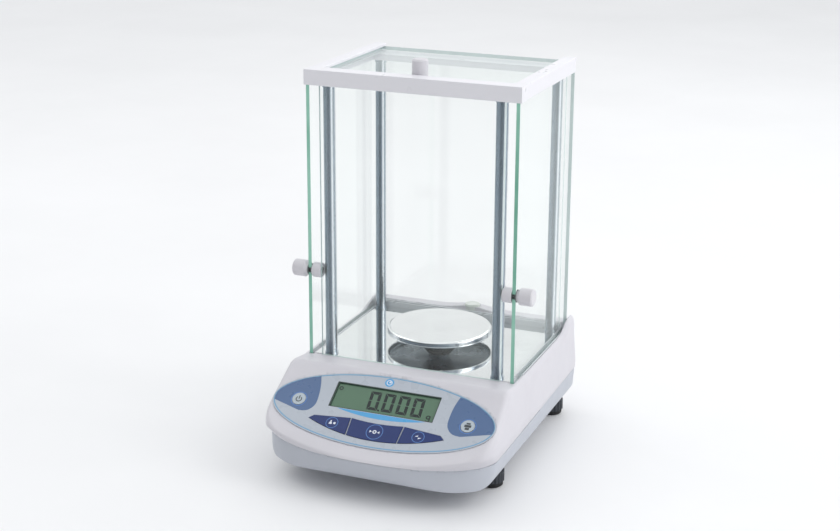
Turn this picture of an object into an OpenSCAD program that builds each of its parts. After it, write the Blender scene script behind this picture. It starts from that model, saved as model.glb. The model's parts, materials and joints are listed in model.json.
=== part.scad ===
// Analytical balance with a glass draft shield.
// Frame: +Z up, -Y is the operator's side, origin on the bench under the middle of the housing.

/* [Housing] */
// Widest width of the housing
housing_w = 198; // [194:1:204]
// Length of the housing from nose to rear wall
housing_l = 256; // [254:1:260]
// Height of the weighing deck above the bench
deck_z = 80; // [78:1:84]
// Height of the housing's underside above the bench
base_z = 17; // [15:0.5:18]
// Height of the parting line at the nose
seam_front_z = 35.5; // [34:0.5:36]
// Height of the parting line at the rear wall
seam_rear_z = 41; // [40:0.5:43]
// Wall thickness of both shells
wall = 2.6; // [2.2:0.1:3]
// Slope of the control face
face_tilt = 33; // [32.6:0.2:33.4]

/* [Control panel] */
// Half width of the oval overlay
panel_a = 95.5; // [92:0.5:95.5]
// Half height of the oval overlay, along the slope
panel_b = 34.6; // [33:0.1:34.6]
// Width of the display window
lcd_w = 89.8; // [84:0.2:92]
// Height of the display window, along the slope
lcd_h = 24.6; // [22:0.2:25]
// Press travel of the keys
key_travel = 0.6; // [0.3:0.1:0.6]

/* [Draft shield] */
// Width of the top frame
shield_w = 184; // [184:1:186]
// Length of the top frame
shield_l = 143; // [140:1:146]
// Height of the top of the frame above the bench
shield_top_z = 321.2; // [300:0.2:330]
// Height of the frame rails
rail_h = 12.5; // [12:0.5:14]
// Thickness of the sliding panes
pane_t = 3; // [2.5:0.1:3]
// Diameter of the front posts
front_post_d = 9.8; // [9:0.1:9.8]
// Diameter of the rear posts
rear_post_d = 9.2; // [8:0.1:9.2]

/* [Weighing] */
// Diameter of the weighing pan
pan_d = 90; // [80:1:96]
// Height of the pan's top above the deck
pan_rise = 14.7; // [13:0.1:18]
// Y of the pan's centre
pan_y = 37; // [34:0.5:40]

/* [Feet] */
// Diameter of the fluted foot wheel
foot_d = 20; // [20:1:24]
// Height of the rubber pad under the wheel
pad_h = 4; // [3:0.5:5]

/* [Hidden] */
$fn = 64;
eps = 0.05;
half_w = housing_w / 2;
front_y = -housing_l / 2;
rear_y = housing_l / 2;
nose_b = 46;                      // depth of the rounded nose in plan
seam_power = 2;                   // fullness of the nose in plan: an ellipse at the parting line
face_power = 3;                   // and a squarer curve round the control face
nose_start_y = front_y + nose_b;
rear_corner_r = 12;
shoulder_z = seam_front_z + 9;    // height where the housing is widest
deck_half_w = half_w - 3;
top_half_w = half_w - 4;
ear_top_z = deck_z + 8.3;
ridge_z = deck_z + 3.6;
deck_t = 3;
cavity_half_w = 84;               // inner half width beside the track blocks
cavity_shoulder_z = deck_z - 8;
face_start_y = front_y + 67.5;    // where the slope passes the height of the deck
rim_y = face_start_y + 4.9;       // crest between the slope and the deck
rim_reach = 3;
rim_end_y = front_y + 93.5;
nose_r = 7;
chin_r = 13;
seam_gap = 0.08;
shell_hole_r = 1.5;
screw_sink_r = 3.2;

panel_y = front_y + 40.7;
panel_z = deck_z + (panel_y - face_start_y) * tan(face_tilt);
panel_t = 1.2;
panel_proud = 0.2;
lcd_x = -1.2;
lcd_s = 10.15;                       // centre of the window up the slope
key_gap = 0.4;
key_proud = 0.6;
key_cap_t = 0.8;
plunger_r = 2.6;
board_n = -9;                     // face of the display board below the slope
switch_h = 2.3;
plunger_l = -board_n - switch_h - key_travel - 0.4 + key_proud - key_cap_t;
round_key_x = 72.7;
round_key_s = -0.1;
round_key_r = 5.6;
key_arc_r = 150;                  // lower edge of the key band
key_low_s = -27.3;
key_mid_r = 157;                   // hollow upper edge of the middle key
key_mid_s = -11.7;
side_key_x = 36.5;
side_key_s = -17;
mid_key_s = -19.5;
key_plungers = [[-side_key_x, side_key_s], [0, mid_key_s], [side_key_x, side_key_s]];
round_plungers = [[-round_key_x, round_key_s], [round_key_x, round_key_s]];
plunger_hole_r = plunger_r + 0.4;
// Left and right edges of the middle key and outline of a side key, as [x, s]
mid_key = [[22.1, -4], [20.6, -36]];
side_key = [[57.5, -15.9], [54, -12.9], [23.3, -10.2], [21.8, -36], [50, -36]];

shield_y0 = front_y + 96;
shield_y1 = shield_y0 + shield_l;
rail_z0 = shield_top_z - rail_h;
rail_w = 10.5;
front_rail_l = 14;
pane_x = shield_w / 2 - 3;        // middle of each side pane
pane_z0 = deck_z - 3.2;
pane_z1 = rail_z0 + 3.8;
pane_y0 = shield_y0 + 1.2;
pane_y1 = shield_y1 + 2;
slot_half = pane_t / 2 + 0.4;     // half width of the slots that guide a pane
slot_z0 = deck_z - 3.6;
front_glass_y = [shield_y0 + 0.9, shield_y0 + 3.1];
back_glass_y = [shield_y1 - 7, shield_y1 - 4.5];
glass_half_w = pane_x - slot_half - 0.2;
front_glass_half_w = 78.9;        // stops just outside the front posts
back_glass_half_w = 86;
top_pane_z = rail_z0 + 6.5;
top_groove_x = shield_w / 2 - rail_w + 4;
cross_l = 18;
cross_h = 5.5;
front_post = [73.7, shield_y0 + 8.9];
rear_post = [80.8, shield_y1 - 13.9];
post_z1 = rail_z0;
spigot_r = 3;
spigot_l = 3.5;
track_y = [shield_y0 + 21, shield_y1 - 9];
track_half = 2.65;
floor_half_w = pane_x - track_half - 0.2;
floor_y = [front_glass_y[1] + 0.1, back_glass_y[0] - 1.4];

door_knob_y = pane_y0 + 3.4;
door_knob_z = deck_z + 73;
outer_knob_r = 7;
inner_knob_r = 6.2;
washer_t = 0.5;
top_knob_y = shield_y0 + 21.2;
top_knob_r = 6.5;
top_knob_z1 = shield_top_z + 11.8;

foot_x = 81;
foot_front_y = shield_y0 - 20;
foot_rear_y = shield_y0 + 139;
stud_r = 4;
stud_fit = 0.05;
boss_z1 = base_z + 16;
wheel_h = 9;
flutes = 18;

pan_z = deck_z + pan_rise;
pan_rim_h = 5;
hub_z0 = deck_z + 2;
hub_r = 14;
spindle_r = 5;
spindle_fit = 0.05;
shaft_r = 4;
cell_z = [36, 58];
cell_y = [-50, pan_y + 10];
cell_half_w = 15;
cell_bolt_y = [-44, -26];
cell_plate_holes = [for (x = [-24, 24], y = [-46, -24]) [x, y]];
plate_screw_r = 1.9;
board_z = base_z + 9;             // underside of the main board
board_x = [-14, 62];
board_y = [60, 118];
board_holes = [for (x = [-8, 56], y = [66, 112]) [x, y]];
board_screw_r = 1.25;
rear_wall_y = rear_y - 7.5;       // flat pocket for the connectors
inlet_x = -47;
inlet_z = 62;
rocker_x = inlet_x - 20;
rocker_pin_y = -2;
rocker_tilt = 8;
socket_x = inlet_x + 13;
serial_x = 40;
serial_pitch = 2.76;
serial_holes = concat(
    [for (i = [-2:2]) [serial_pitch * i, 1.4]],
    [for (i = [-1.5:1.5]) [serial_pitch * i, -1.4]]
);
level_y = rear_y - 9.5;
shell_screws = [[82, -80], [82, 84]];
hollow_r = 27;                    // hollow that runs across the rear wall
hollow_sag = 6;
hollow_z = 64;
pcb_t = 1.6;

// ---- helpers ----

function arc(c, r, a0, a1, n) =
    [for (i = [0:n]) let (a = a0 + (a1 - a0) * i / n) [c[0] + r * cos(a), c[1] + r * sin(a)]];

function fuller(v, power) = pow(abs(v), 2 / power);

function face_z(y) = deck_z + (y - face_start_y) * tan(face_tilt);

// Extrudes a (y, z) outline across the width.
module across(w) {
    rotate([90, 0, 90]) linear_extrude(w, center = true) children();
}

// Extrudes an (x, z) outline along the length.
module along(l) {
    rotate([90, 0, 0]) linear_extrude(l, center = true) children();
}

// A box from its lowest corner to its highest.
module block(a, b) {
    translate(a) cube(b - a);
}

// A box mirrored about the middle plane, from x = -half_x to half_x.
module mid_block(half_x, y, z) {
    block([-half_x, y[0], z[0]], [half_x, y[1], z[1]]);
}

module on_face(x = 0, s = 0, n = 0) {
    translate([0, panel_y, panel_z]) rotate([face_tilt, 0, 0]) translate([x, s, n]) children();
}

// ---- housing ----

// Outline seen from above: rounded nose, straight sides, rounded rear corners.
module plan_outline(d, power = seam_power) {
    a = half_w - d;
    b = nose_b - d;
    r = rear_corner_r - d;
    c = [half_w - rear_corner_r, rear_y - rear_corner_r];
    polygon(concat(
        [for (i = [0:40]) let (t = 180 + 180 * i / 40)
            [a * sign(cos(t)) * fuller(cos(t), power), nose_start_y - b * fuller(sin(t), power)]],
        arc(c, r, 0, 90, 6),
        arc([-c[0], c[1]], r, 90, 180, 6)
    ));
}

// Cross-section that narrows from the shoulder to the top.
module taper_outline(d) {
    polygon([
        [-(half_w - 1 - d), base_z - 5], [half_w - 1 - d, base_z - 5],
        [half_w - d, shoulder_z], [deck_half_w - d, deck_z], [top_half_w - d, deck_z + 12],
        [-(top_half_w - d), deck_z + 12], [-(deck_half_w - d), deck_z], [-(half_w - d), shoulder_z]
    ]);
}

// Body of the upper shell, filling out from the parting line to the shoulder.
module upper_body() {
    hull() {
        translate([0, 0, seam_front_z - 1]) linear_extrude(eps) plan_outline(0);
        translate([0, 0, shoulder_z]) linear_extrude(deck_z + 20 - shoulder_z) plan_outline(0, face_power);
    }
}

// Side view of the upper shell: nose, control slope, raised rim and deck.
module upper_profile() {
    nc = [front_y + nose_r, face_z(front_y + nose_r) - nose_r / cos(face_tilt)];
    nose_end = 180 - asin((seam_front_z - nc[1]) / nose_r);
    fall = atan((face_z(rim_y) - deck_z) / (rim_end_y - rim_y));
    rim_r = rim_reach / tan((face_tilt + fall) / 2);
    rim = [
        rim_y - rim_reach * cos(face_tilt) + rim_r * sin(face_tilt),
        face_z(rim_y) - rim_reach * sin(face_tilt) - rim_r * cos(face_tilt)
    ];
    polygon(concat(
        [[rear_y, seam_rear_z], [rear_y, deck_z], [rim_end_y, deck_z]],
        arc(rim, rim_r, 90 - fall, 90 + face_tilt, 8),
        arc(nc, nose_r, 90 + face_tilt, nose_end, 8)
    ));
}

module upper_cavity_profile(top_z, drop) {
    polygon([
        [rear_wall_y - wall, seam_rear_z - 9], [rear_wall_y - wall, top_z],
        [face_start_y + (top_z + drop - deck_z) / tan(face_tilt), top_z],
        [front_y + 9, face_z(front_y + 9) - drop],
        [front_y + 6, seam_front_z - 9]
    ]);
}

module ear_profile() {
    polygon(concat(
        [[rear_y, deck_z - 4], [rear_y, deck_z + 3.3]],
        arc([rear_y - 5, deck_z + 3.3], 5, 0, 90, 6),
        [for (i = [0:10]) let (t = i / 10, y = rear_y - 9 - 40 * t)
            [y, deck_z + (ear_top_z - deck_z) * (1 + cos(180 * t)) / 2]],
        [[rear_y - 50, deck_z - 4]]
    ));
}

// Raised lip behind the rear pane, with a low hump for the bubble level.
module ridge() {
    translate([0, (shield_y1 + rear_y) / 2 + 1, 0]) along(rear_y - shield_y1 - 2) polygon(concat(
        [for (i = [-20:20]) let (x = glass_half_w * i / 20)
            [x, ridge_z + 3.4 * exp(-pow(x / 17, 2))]],
        [[glass_half_w, deck_z - 1], [-glass_half_w, deck_z - 1]]
    ));
}

module shell_bosses(r, z0, z1) {
    for (side = [-1, 1], p = shell_screws)
        translate([side * p[0], p[1], z0]) cylinder(r = r, h = z1 - z0);
}

module upper_housing() {
    color([0.86, 0.85, 0.87]) difference() {
        union() {
            difference() {
                intersection() {
                    upper_body();
                    along(2 * housing_l) taper_outline(0);
                    union() {
                        across(2 * housing_w) upper_profile();
                        for (side = [-1, 1]) translate([side * (pane_x + slot_half + 5), 0, 0])
                            across(10) ear_profile();
                        ridge();
                    }
                }
                intersection() {
                    linear_extrude(deck_z) plan_outline(wall);
                    along(2 * housing_l) taper_outline(wall);
                    union() {
                        across(2 * housing_w)
                            upper_cavity_profile(cavity_shoulder_z, wall / cos(face_tilt));
                        across(2 * cavity_half_w)
                            upper_cavity_profile(deck_z - deck_t, deck_t / cos(face_tilt));
                    }
                }
                // Hollowed rear wall
                translate([0, rear_y + hollow_r - hollow_sag, hollow_z]) rotate([0, 90, 0])
                    cylinder(r = hollow_r, h = 2 * housing_w, center = true, $fn = 128);
            }
            intersection() {
                shell_bosses(4, seam_front_z + 1, deck_z - 1);
                across(2 * housing_w) upper_profile();
            }
        }
        shell_bosses(shell_hole_r, seam_front_z, seam_rear_z + 13);
        // Overlay pocket, display aperture and plunger holes
        on_face(0, 0, -panel_t) linear_extrude(10) oval(panel_a + 0.1, panel_b + 0.1);
        on_face(lcd_x, lcd_s, -8) linear_extrude(10) square([lcd_w - 4, lcd_h - 4], center = true);
        for (p = concat(key_plungers, round_plungers))
            on_face(p[0], p[1], -8) cylinder(r = plunger_hole_r, h = 10);
        // Recess for the chamber floor and the hole for the weighing shaft
        mid_block(floor_half_w + 0.1, floor_y + [-0.1, 0.1], [deck_z - 1, deck_z + 0.5]);
        translate([0, pan_y, deck_z - 8]) cylinder(r = shaft_r + 4, h = 12);
        // Pane slots and track seats
        for (side = [-1, 1]) translate([side * pane_x, 0, 0]) {
            block([-slot_half, pane_y0 - 0.5, slot_z0], [slot_half, rear_y + 5, ear_top_z + 5]);
            block([-track_half, track_y[0], deck_z - 5], [track_half, track_y[1], ear_top_z + 5]);
        }
        for (side = [-1, 1], p = [front_post, rear_post]) translate([side * p[0], p[1], deck_z - 8])
            cylinder(r = 2 + 2 * eps, h = 12);
        // Connector pocket and openings in the rear wall
        block([inlet_x - 36, rear_wall_y, inlet_z - 15], [inlet_x + 36, rear_y + 5, inlet_z + 15]);
        block([serial_x - 19, rear_wall_y, inlet_z - 15], [serial_x + 19, rear_y + 5, inlet_z + 15]);
        block([inlet_x - 31.5, rear_wall_y - 10, inlet_z - 10.5], [inlet_x + 31.5, rear_y, inlet_z + 10.5]);
        block([serial_x - 10, rear_wall_y - 10, inlet_z - 6], [serial_x + 10, rear_y, inlet_z + 6]);
        translate([0, level_y, deck_z - 1]) cylinder(r = 7 + eps, h = 20);
    }
}

module chin_profile(d) {
    y0 = front_y + 0.4;
    polygon(concat(
        [[rear_y - 1 - d, seam_rear_z - seam_gap + 2 * d]],
        [[y0 + d, seam_front_z - seam_gap + 2 * d]],
        arc([y0 + chin_r + 1.5, base_z + chin_r], chin_r - d, 180, 270, 12),
        arc([rear_y - 10, base_z + 6], 6 - d, 270, 350, 6)
    ));
}

module lower_housing() {
    color([0.77, 0.78, 0.82]) difference() {
        union() {
            difference() {
                intersection() {
                    linear_extrude(deck_z) plan_outline(0.4);
                    lower_section(0);
                    across(2 * housing_w) chin_profile(0);
                }
                intersection() {
                    linear_extrude(deck_z) plan_outline(0.4 + wall);
                    lower_section(wall);
                    across(2 * housing_w) chin_profile(wall);
                }
            }
            intersection() {
                union() {
                    for (side = [-1, 1], y = [foot_front_y, foot_rear_y])
                        translate([side * foot_x, y, base_z]) cylinder(r = 8, h = boss_z1 - base_z);
                    shell_bosses(5, base_z, seam_front_z + 0.5);
                    for (p = cell_plate_holes) translate([p[0], p[1], base_z]) cylinder(r = 5, h = 13);
                    for (p = board_holes) translate([p[0], p[1], base_z]) cylinder(r = 3.5, h = 9);
                }
                linear_extrude(deck_z) plan_outline(0.6);
            }
        }
        for (side = [-1, 1], y = [foot_front_y, foot_rear_y])
            translate([side * foot_x, y, base_z - 1]) cylinder(r = stud_r + stud_fit, h = boss_z1);
        shell_bosses(shell_hole_r, base_z, deck_z);
        shell_bosses(screw_sink_r, base_z - 1, base_z + 8);
        for (p = cell_plate_holes)
            translate([p[0], p[1], base_z + 3]) cylinder(r = plate_screw_r + eps, h = 12);
        for (p = board_holes)
            translate([p[0], p[1], base_z + 3]) cylinder(r = board_screw_r + eps, h = 8);
        // Vent slots under the transformer
        for (i = [0:5]) block([-67 + 7 * i, 71, base_z - 1], [-64 + 7 * i, 99, base_z + wall + 1]);
    }
}

// Cross-section of the lower shell with rounded bottom edges.
module lower_section(d) {
    r = 9;
    w = half_w - 3 - r;
    along(2 * housing_l) polygon(concat(
        [[half_w - 1 - d, shoulder_z], [-(half_w - 1 - d), shoulder_z]],
        arc([-w, base_z + r], r - d, 180, 270, 6),
        arc([w, base_z + r], r - d, 270, 360, 6)
    ));
}

// ---- control panel ----

module oval(a, b) {
    polygon([for (i = [0:71]) [a * cos(5 * i), b * sin(5 * i)]]);
}

// Outline of a key of the blue band, grown by g; i is -1, 0 or 1.
module key_outline(i, g) {
    difference() {
        intersection() {
            translate([0, key_low_s + key_arc_r]) circle(r = key_arc_r + g, $fn = 256);
            if (i == 0) polygon([
                [-mid_key[0][0] - g, mid_key[0][1]], [mid_key[0][0] + g, mid_key[0][1]],
                [mid_key[1][0] + g, mid_key[1][1]], [-mid_key[1][0] - g, mid_key[1][1]]
            ]);
            else mirror([i > 0 ? 0 : 1, 0]) polygon(side_key + [
                [g, g / 3], [g / 3, g], [-g, g], [-g, 0], [g, 0]
            ]);
        }
        if (i == 0)
            translate([0, key_mid_s + key_mid_r]) circle(r = key_mid_r - g, $fn = 256);
    }
}

module control_panel() {
    color([0.72, 0.75, 0.79]) difference() {
        on_face(0, 0, -panel_t)
            linear_extrude(panel_t + panel_proud) oval(panel_a, panel_b);
        on_face(lcd_x, lcd_s, -5) linear_extrude(10) square([lcd_w, lcd_h], center = true);
        for (i = [-1:1]) on_face(0, 0, -5) linear_extrude(10) key_outline(i, key_gap);
        for (p = round_plungers)
            on_face(p[0], p[1], -5) cylinder(r = round_key_r + key_gap, h = 10);
    }
}

module lcd_window() {
    color([0.8, 0.88, 0.84, 0.4]) on_face(lcd_x, lcd_s, -panel_t) linear_extrude(0.8)
        square([lcd_w - 0.1, lcd_h - 0.1], center = true);
}

module lcd_module() {
    color([0.41, 0.57, 0.45]) on_face(lcd_x, lcd_s, board_n) linear_extrude(-panel_t - 0.1 - board_n)
        square([lcd_w - 4.4, lcd_h - 4.4], center = true);
}

module display_board() {
    color([0.1, 0.35, 0.2]) on_face(0, -3, board_n - pcb_t) linear_extrude(pcb_t)
        square([152, 48], center = true);
}

module key_switches() {
    color([0.15, 0.15, 0.16]) for (p = concat(key_plungers, round_plungers)) {
        on_face(p[0], p[1], board_n + 0.8) cube([5, 5, 1.6], center = true);
        on_face(p[0], p[1], board_n + 1.5) cylinder(r = 1.7, h = switch_h - 1.5);
    }
}

module key_plunger(x, s) {
    on_face(x, s, key_proud - key_cap_t - plunger_l) cylinder(r = plunger_r, h = plunger_l + 0.1);
}

module band_key(i) {
    color([0.2, 0.3, 0.56]) union() {
        on_face(0, 0, key_proud - key_cap_t) linear_extrude(key_cap_t) key_outline(i, 0);
        key_plunger(key_plungers[i + 1][0], key_plungers[i + 1][1]);
    }
}

module round_key(side) {
    color([0.8, 0.8, 0.82]) union() {
        on_face(side * round_key_x, round_key_s, key_proud - key_cap_t)
            cylinder(r = round_key_r, h = key_cap_t);
        key_plunger(side * round_key_x, round_key_s);
    }
}

// ---- weighing system and electronics ----

module chamber_floor() {
    color([0.8, 0.81, 0.82]) difference() {
        mid_block(floor_half_w, floor_y, [deck_z - 1, deck_z]);
        translate([0, pan_y, deck_z - 2]) cylinder(r = shaft_r + 4, h = 4);
        for (side = [-1, 1], p = [front_post, rear_post]) translate([side * p[0], p[1], deck_z - 2])
            cylinder(r = 2 + 2 * eps, h = 4);
    }
}

module load_cell() {
    mid_y = (cell_y[0] + cell_y[1]) / 2;
    mid_z = (cell_z[0] + cell_z[1]) / 2;
    color([0.75, 0.76, 0.77]) difference() {
        mid_block(cell_half_w, cell_y, cell_z);
        for (dy = [-12, 12]) translate([0, mid_y + dy, mid_z]) rotate([0, 90, 0])
            cylinder(r = 8, h = 40, center = true);
        mid_block(20, [mid_y - 12, mid_y + 12], [mid_z - 2, mid_z + 2]);
        for (y = cell_bolt_y) translate([0, y, cell_z[0] - 1]) cylinder(r = 3 + eps, h = 13);
    }
}

module load_cell_base() {
    color([0.55, 0.56, 0.58]) difference() {
        mid_block(30, [-55, -17], [cell_z[0] - 6, cell_z[0]]);
        for (y = cell_bolt_y) translate([0, y, 20]) cylinder(r = 3 + 4 * eps, h = 30);
        for (p = cell_plate_holes)
            translate([p[0], p[1], 20]) cylinder(r = plate_screw_r + 4 * eps, h = 30);
    }
}

module screw(head_r, head_h, r, l) {
    cylinder(r = head_r, h = head_h);
    translate([0, 0, head_h - eps]) cylinder(r = r, h = l + eps);
}

module load_cell_bolts() {
    color([0.3, 0.3, 0.32]) {
        for (y = cell_bolt_y) translate([0, y, cell_z[0] - 10]) screw(5, 4, 3, 17);
        for (p = cell_plate_holes)
            translate([p[0], p[1], cell_z[0] + 2.4]) mirror([0, 0, 1]) screw(3.5, 2.4, plate_screw_r, 14);
    }
}

module main_board() {
    z1 = board_z + pcb_t - eps;
    color([0.1, 0.35, 0.2]) difference() {
        union() {
            block([board_x[0], board_y[0], board_z], [board_x[1], board_y[1], board_z + pcb_t]);
            block([6, 72, z1], [22, 88, board_z + 4]);
            block([32, 80, z1], [44, 88, board_z + 4]);
            for (x = [6, 18, 30]) translate([x, 103, z1]) cylinder(r = 4, h = 12);
        }
        for (p = board_holes)
            translate([p[0], p[1], board_z - 1]) cylinder(r = board_screw_r + 3 * eps, h = 10);
    }
}

module board_screws() {
    head_h = 1.6;
    color([0.7, 0.7, 0.72]) for (p = board_holes)
        translate([p[0], p[1], board_z + pcb_t + head_h]) mirror([0, 0, 1])
            screw(2.6, head_h, board_screw_r, 7);
}

module transformer() {
    color([0.3, 0.28, 0.26]) translate([-48, 85, base_z + wall]) union() {
        mid_block(22, [-19, 19], [0, 3]);
        mid_block(20, [-13, 13], [2, 38]);
        mid_block(12, [-19, 19], [9, 31]);
    }
}

// Flat ribbon from the display board down to the floor and back to the main board.
module display_cable() {
    z = base_z + wall + 0.5;
    y0 = panel_y;
    color([0.6, 0.62, 0.65]) translate([52, 0, 0]) across(20) polygon([
        [y0, panel_z + (board_n - pcb_t) / cos(face_tilt) - 0.5], [y0 + 6, z + 5], [y0 + 12, z + 1],
        [50, z + 1], [54, z + 3], [57, z + 7.6], [58.4, z + 9.4], [57.6, z + 10], [56, z + 8], [53, z + 4],
        [49, z + 2],
        [y0 + 12, z + 2], [y0 + 7, z + 6], [y0 + 1, panel_z + (board_n - pcb_t) / cos(face_tilt) - 0.1]
    ]);
}

module pan_support() {
    color([0.2, 0.21, 0.23]) translate([0, pan_y, 0]) union() {
        translate([0, 0, cell_z[1]]) cylinder(r = shaft_r, h = hub_z0 - cell_z[1] + 1);
        translate([0, 0, hub_z0]) rotate_extrude() polygon([
            [0, 0], [hub_r - 3, 0], [hub_r, 1.5], [hub_r, 3], [hub_r - 4, pan_z - pan_rim_h - hub_z0],
            [0, pan_z - pan_rim_h - hub_z0]
        ]);
        translate([0, 0, pan_z - pan_rim_h - 1]) cylinder(r = spindle_r, h = pan_rim_h - 1.2);
    }
}

module weighing_pan() {
    r = pan_d / 2;
    e = 2.5;
    t = 1;
    color([0.83, 0.84, 0.85]) translate([0, pan_y, pan_z]) union() {
        rotate_extrude($fn = 128) polygon(concat(
            [[0, 0]], arc([r - e, -e], e, 90, 0, 6),
            [[r, -pan_rim_h], [r - t, -pan_rim_h]], arc([r - e, -e], e - t, 0, 90, 6), [[0, -t]]
        ));
        difference() {
            translate([0, 0, -pan_rim_h]) cylinder(r = 9, h = pan_rim_h - t + eps);
            translate([0, 0, -pan_rim_h - 1]) cylinder(r = spindle_r + spindle_fit, h = pan_rim_h);
        }
    }
}

// Mains inlet with a rocker switch beside it, in one flanged moulding.
module power_inlet() {
    y = rear_wall_y;
    color([0.12, 0.12, 0.13]) union() {
        difference() {
            union() {
                block([inlet_x - 34, y, inlet_z - 13], [inlet_x + 34, y + 2.2, inlet_z + 13]);
                block([inlet_x - 31, y - 18, inlet_z - 10], [inlet_x + 31, y + eps, inlet_z + 10]);
            }
            block([socket_x - 12.2, y - 16, inlet_z - 8.2], [socket_x + 12.2, y + 5, inlet_z + 8.2]);
            block([rocker_x - 6.9, y - 12, inlet_z - 9], [rocker_x + 6.9, y + 5, inlet_z + 9]);
            translate([rocker_x, y + rocker_pin_y, inlet_z]) rotate([0, 90, 0])
                cylinder(r = 1.5 + eps, h = 18, center = true);
        }
        for (p = [[-7, 1.5], [0, -2], [7, 1.5]]) translate([socket_x + p[0], y, inlet_z + p[1]])
            block([-1, -16.1, -2], [1, -4.5, 2]);
    }
}

module power_rocker() {
    pin = [rocker_x, rear_wall_y + rocker_pin_y, inlet_z];
    color([0.1, 0.1, 0.11]) translate(pin) rotate([rocker_tilt, 0, 0]) union() {
        across(12.6)
            polygon([[-4, -4], [0, -8], [4.2, -7.6], [3.2, 0], [4.2, 7.6], [0, 8], [-4, 4]]);
        rotate([0, 90, 0]) cylinder(r = 1.5, h = 16, center = true);
    }
}

module serial_port() {
    y = rear_wall_y;
    color([0.7, 0.71, 0.73]) union() {
        difference() {
            union() {
                block([serial_x - 15.5, y, inlet_z - 6.2], [serial_x + 15.5, y + 1, inlet_z + 6.2]);
                block([serial_x - 9.5, y - 9, inlet_z - 5.4], [serial_x + 9.5, y + eps, inlet_z + 5.4]);
                translate([serial_x, y + 0.9, inlet_z]) rotate([-90, 0, 0]) linear_extrude(5)
                    polygon([[-8.6, -4.2], [8.6, -4.2], [7.2, 4.2], [-7.2, 4.2]]);
            }
            for (p = serial_holes) translate([serial_x + p[0], y + 1, inlet_z + p[1]]) rotate([-90, 0, 0])
                cylinder(r = 0.6, h = 6, $fn = 24);
        }
        for (side = [-1, 1]) translate([serial_x + side * 12.5, y, inlet_z]) rotate([-90, 0, 0])
            cylinder(r = 2.6, h = 5.5, $fn = 6);
    }
}

module bubble_level() {
    color([0.7, 0.85, 0.6, 0.7]) translate([0, level_y, deck_z - 1]) union() {
        cylinder(r = 7, h = 8.4);
        translate([0, 0, 8]) cylinder(r = 6.2, h = 1.2);
    }
}

// ---- draft shield ----

module front_rail() {
    y1 = shield_y0 + front_rail_l;
    color([0.82, 0.81, 0.84]) difference() {
        mid_block(shield_w / 2, [shield_y0, y1], [rail_z0, shield_top_z]);
        for (side = [-1, 1]) translate([side * pane_x, 0, 0])
            block([-slot_half, pane_y0 - 0.3, rail_z0 - 1], [slot_half, y1 + 1, pane_z1 + 0.5]);
        mid_block(front_glass_half_w + 0.1, front_glass_y + [-0.1, 0.1], [rail_z0 - 1, pane_z1 + 0.1]);
        mid_block(top_groove_x, [y1 - 4, y1 + 1], [top_pane_z - 0.4, top_pane_z + pane_t + 0.4]);
        for (side = [-1, 1]) translate([side * front_post[0], front_post[1], rail_z0 - 1])
            cylinder(r = spigot_r + eps, h = spigot_l + 1.2);
    }
}

module side_rail(side) {
    y0 = shield_y0 + front_rail_l;
    x1 = shield_w / 2;
    color([0.82, 0.81, 0.84]) mirror([side > 0 ? 0 : 1, 0, 0]) difference() {
        union() {
            block([x1 - rail_w, y0, rail_z0 + cross_h], [x1, shield_y1, shield_top_z]);
            block([x1 - 5.8, y0, rail_z0], [x1, shield_y1, rail_z0 + cross_h + 1]);
        }
        translate([pane_x, 0, 0])
            block([-slot_half, y0 - 1, rail_z0 - 1], [slot_half, shield_y1 + 1, pane_z1 + 0.5]);
        translate([0, 0, top_pane_z])
            block([x1 - rail_w - 1, y0 - 1, -0.4], [top_groove_x, shield_y1 + 1, pane_t + 0.4]);
    }
}

module rear_cross_member() {
    color([0.8, 0.8, 0.83]) difference() {
        mid_block(shield_w / 2 - 5.9, [shield_y1 - cross_l, shield_y1], [rail_z0, rail_z0 + cross_h]);
        mid_block(glass_half_w + 5, back_glass_y + [-0.1, 0.1], [rail_z0 - 1, pane_z1 + 0.1]);
        for (side = [-1, 1]) translate([side * rear_post[0], rear_post[1], rail_z0 - 1])
            cylinder(r = spigot_r + eps, h = spigot_l + 1.2);
    }
}

// Polished post with a collar at each end and a spigot into the frame above.
module post(p, side, d) {
    r = d / 2;
    collar_h = 1.6;
    color([0.72, 0.75, 0.79]) translate([side * p[0], p[1], deck_z]) difference() {
        union() {
            cylinder(r = r, h = post_z1 - deck_z);
            cylinder(r = r + 0.7, h = collar_h);
            translate([0, 0, post_z1 - deck_z - collar_h]) cylinder(r = r + 0.7, h = collar_h);
            translate([0, 0, post_z1 - deck_z - 1]) cylinder(r = spigot_r, h = spigot_l + 1);
        }
        translate([0, 0, -1]) cylinder(r = 2 + eps, h = 13);
    }
}

module post_screws() {
    color([0.5, 0.51, 0.53]) for (side = [-1, 1], p = [front_post, rear_post])
        translate([side * p[0], p[1], deck_z - deck_t - 2.5]) screw(3.1, 2.5, 2, 12);
}

module front_glass() {
    color([0.75, 0.88, 0.84, 0.3]) mid_block(front_glass_half_w, front_glass_y, [deck_z, pane_z1]);
}

module back_glass() {
    color([0.75, 0.88, 0.84, 0.3]) mid_block(back_glass_half_w, back_glass_y, [deck_z + 1, pane_z1]);
}

module rear_sill() {
    color([0.72, 0.73, 0.76]) difference() {
        mid_block(glass_half_w - 0.6, back_glass_y + [-1.2, 1.2], [deck_z, deck_z + 5]);
        mid_block(glass_half_w + 1, back_glass_y, [deck_z + 1, deck_z + 6]);
    }
}

module side_track(side) {
    color([0.66, 0.69, 0.73]) translate([side * pane_x, 0, 0]) difference() {
        block([-track_half, track_y[0], deck_z - 5], [track_half, track_y[1], deck_z + 0.8]);
        block([-slot_half, track_y[0] - 1, slot_z0], [slot_half, track_y[1] + 1, deck_z + 2]);
    }
}

module housing_screws() {
    color([0.5, 0.5, 0.52]) for (side = [-1, 1], p = shell_screws)
        translate([side * p[0], p[1], base_z + 5.4]) screw(2.9, 2.6, 1.45, 22);
}

// ---- sliding doors ----

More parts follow.
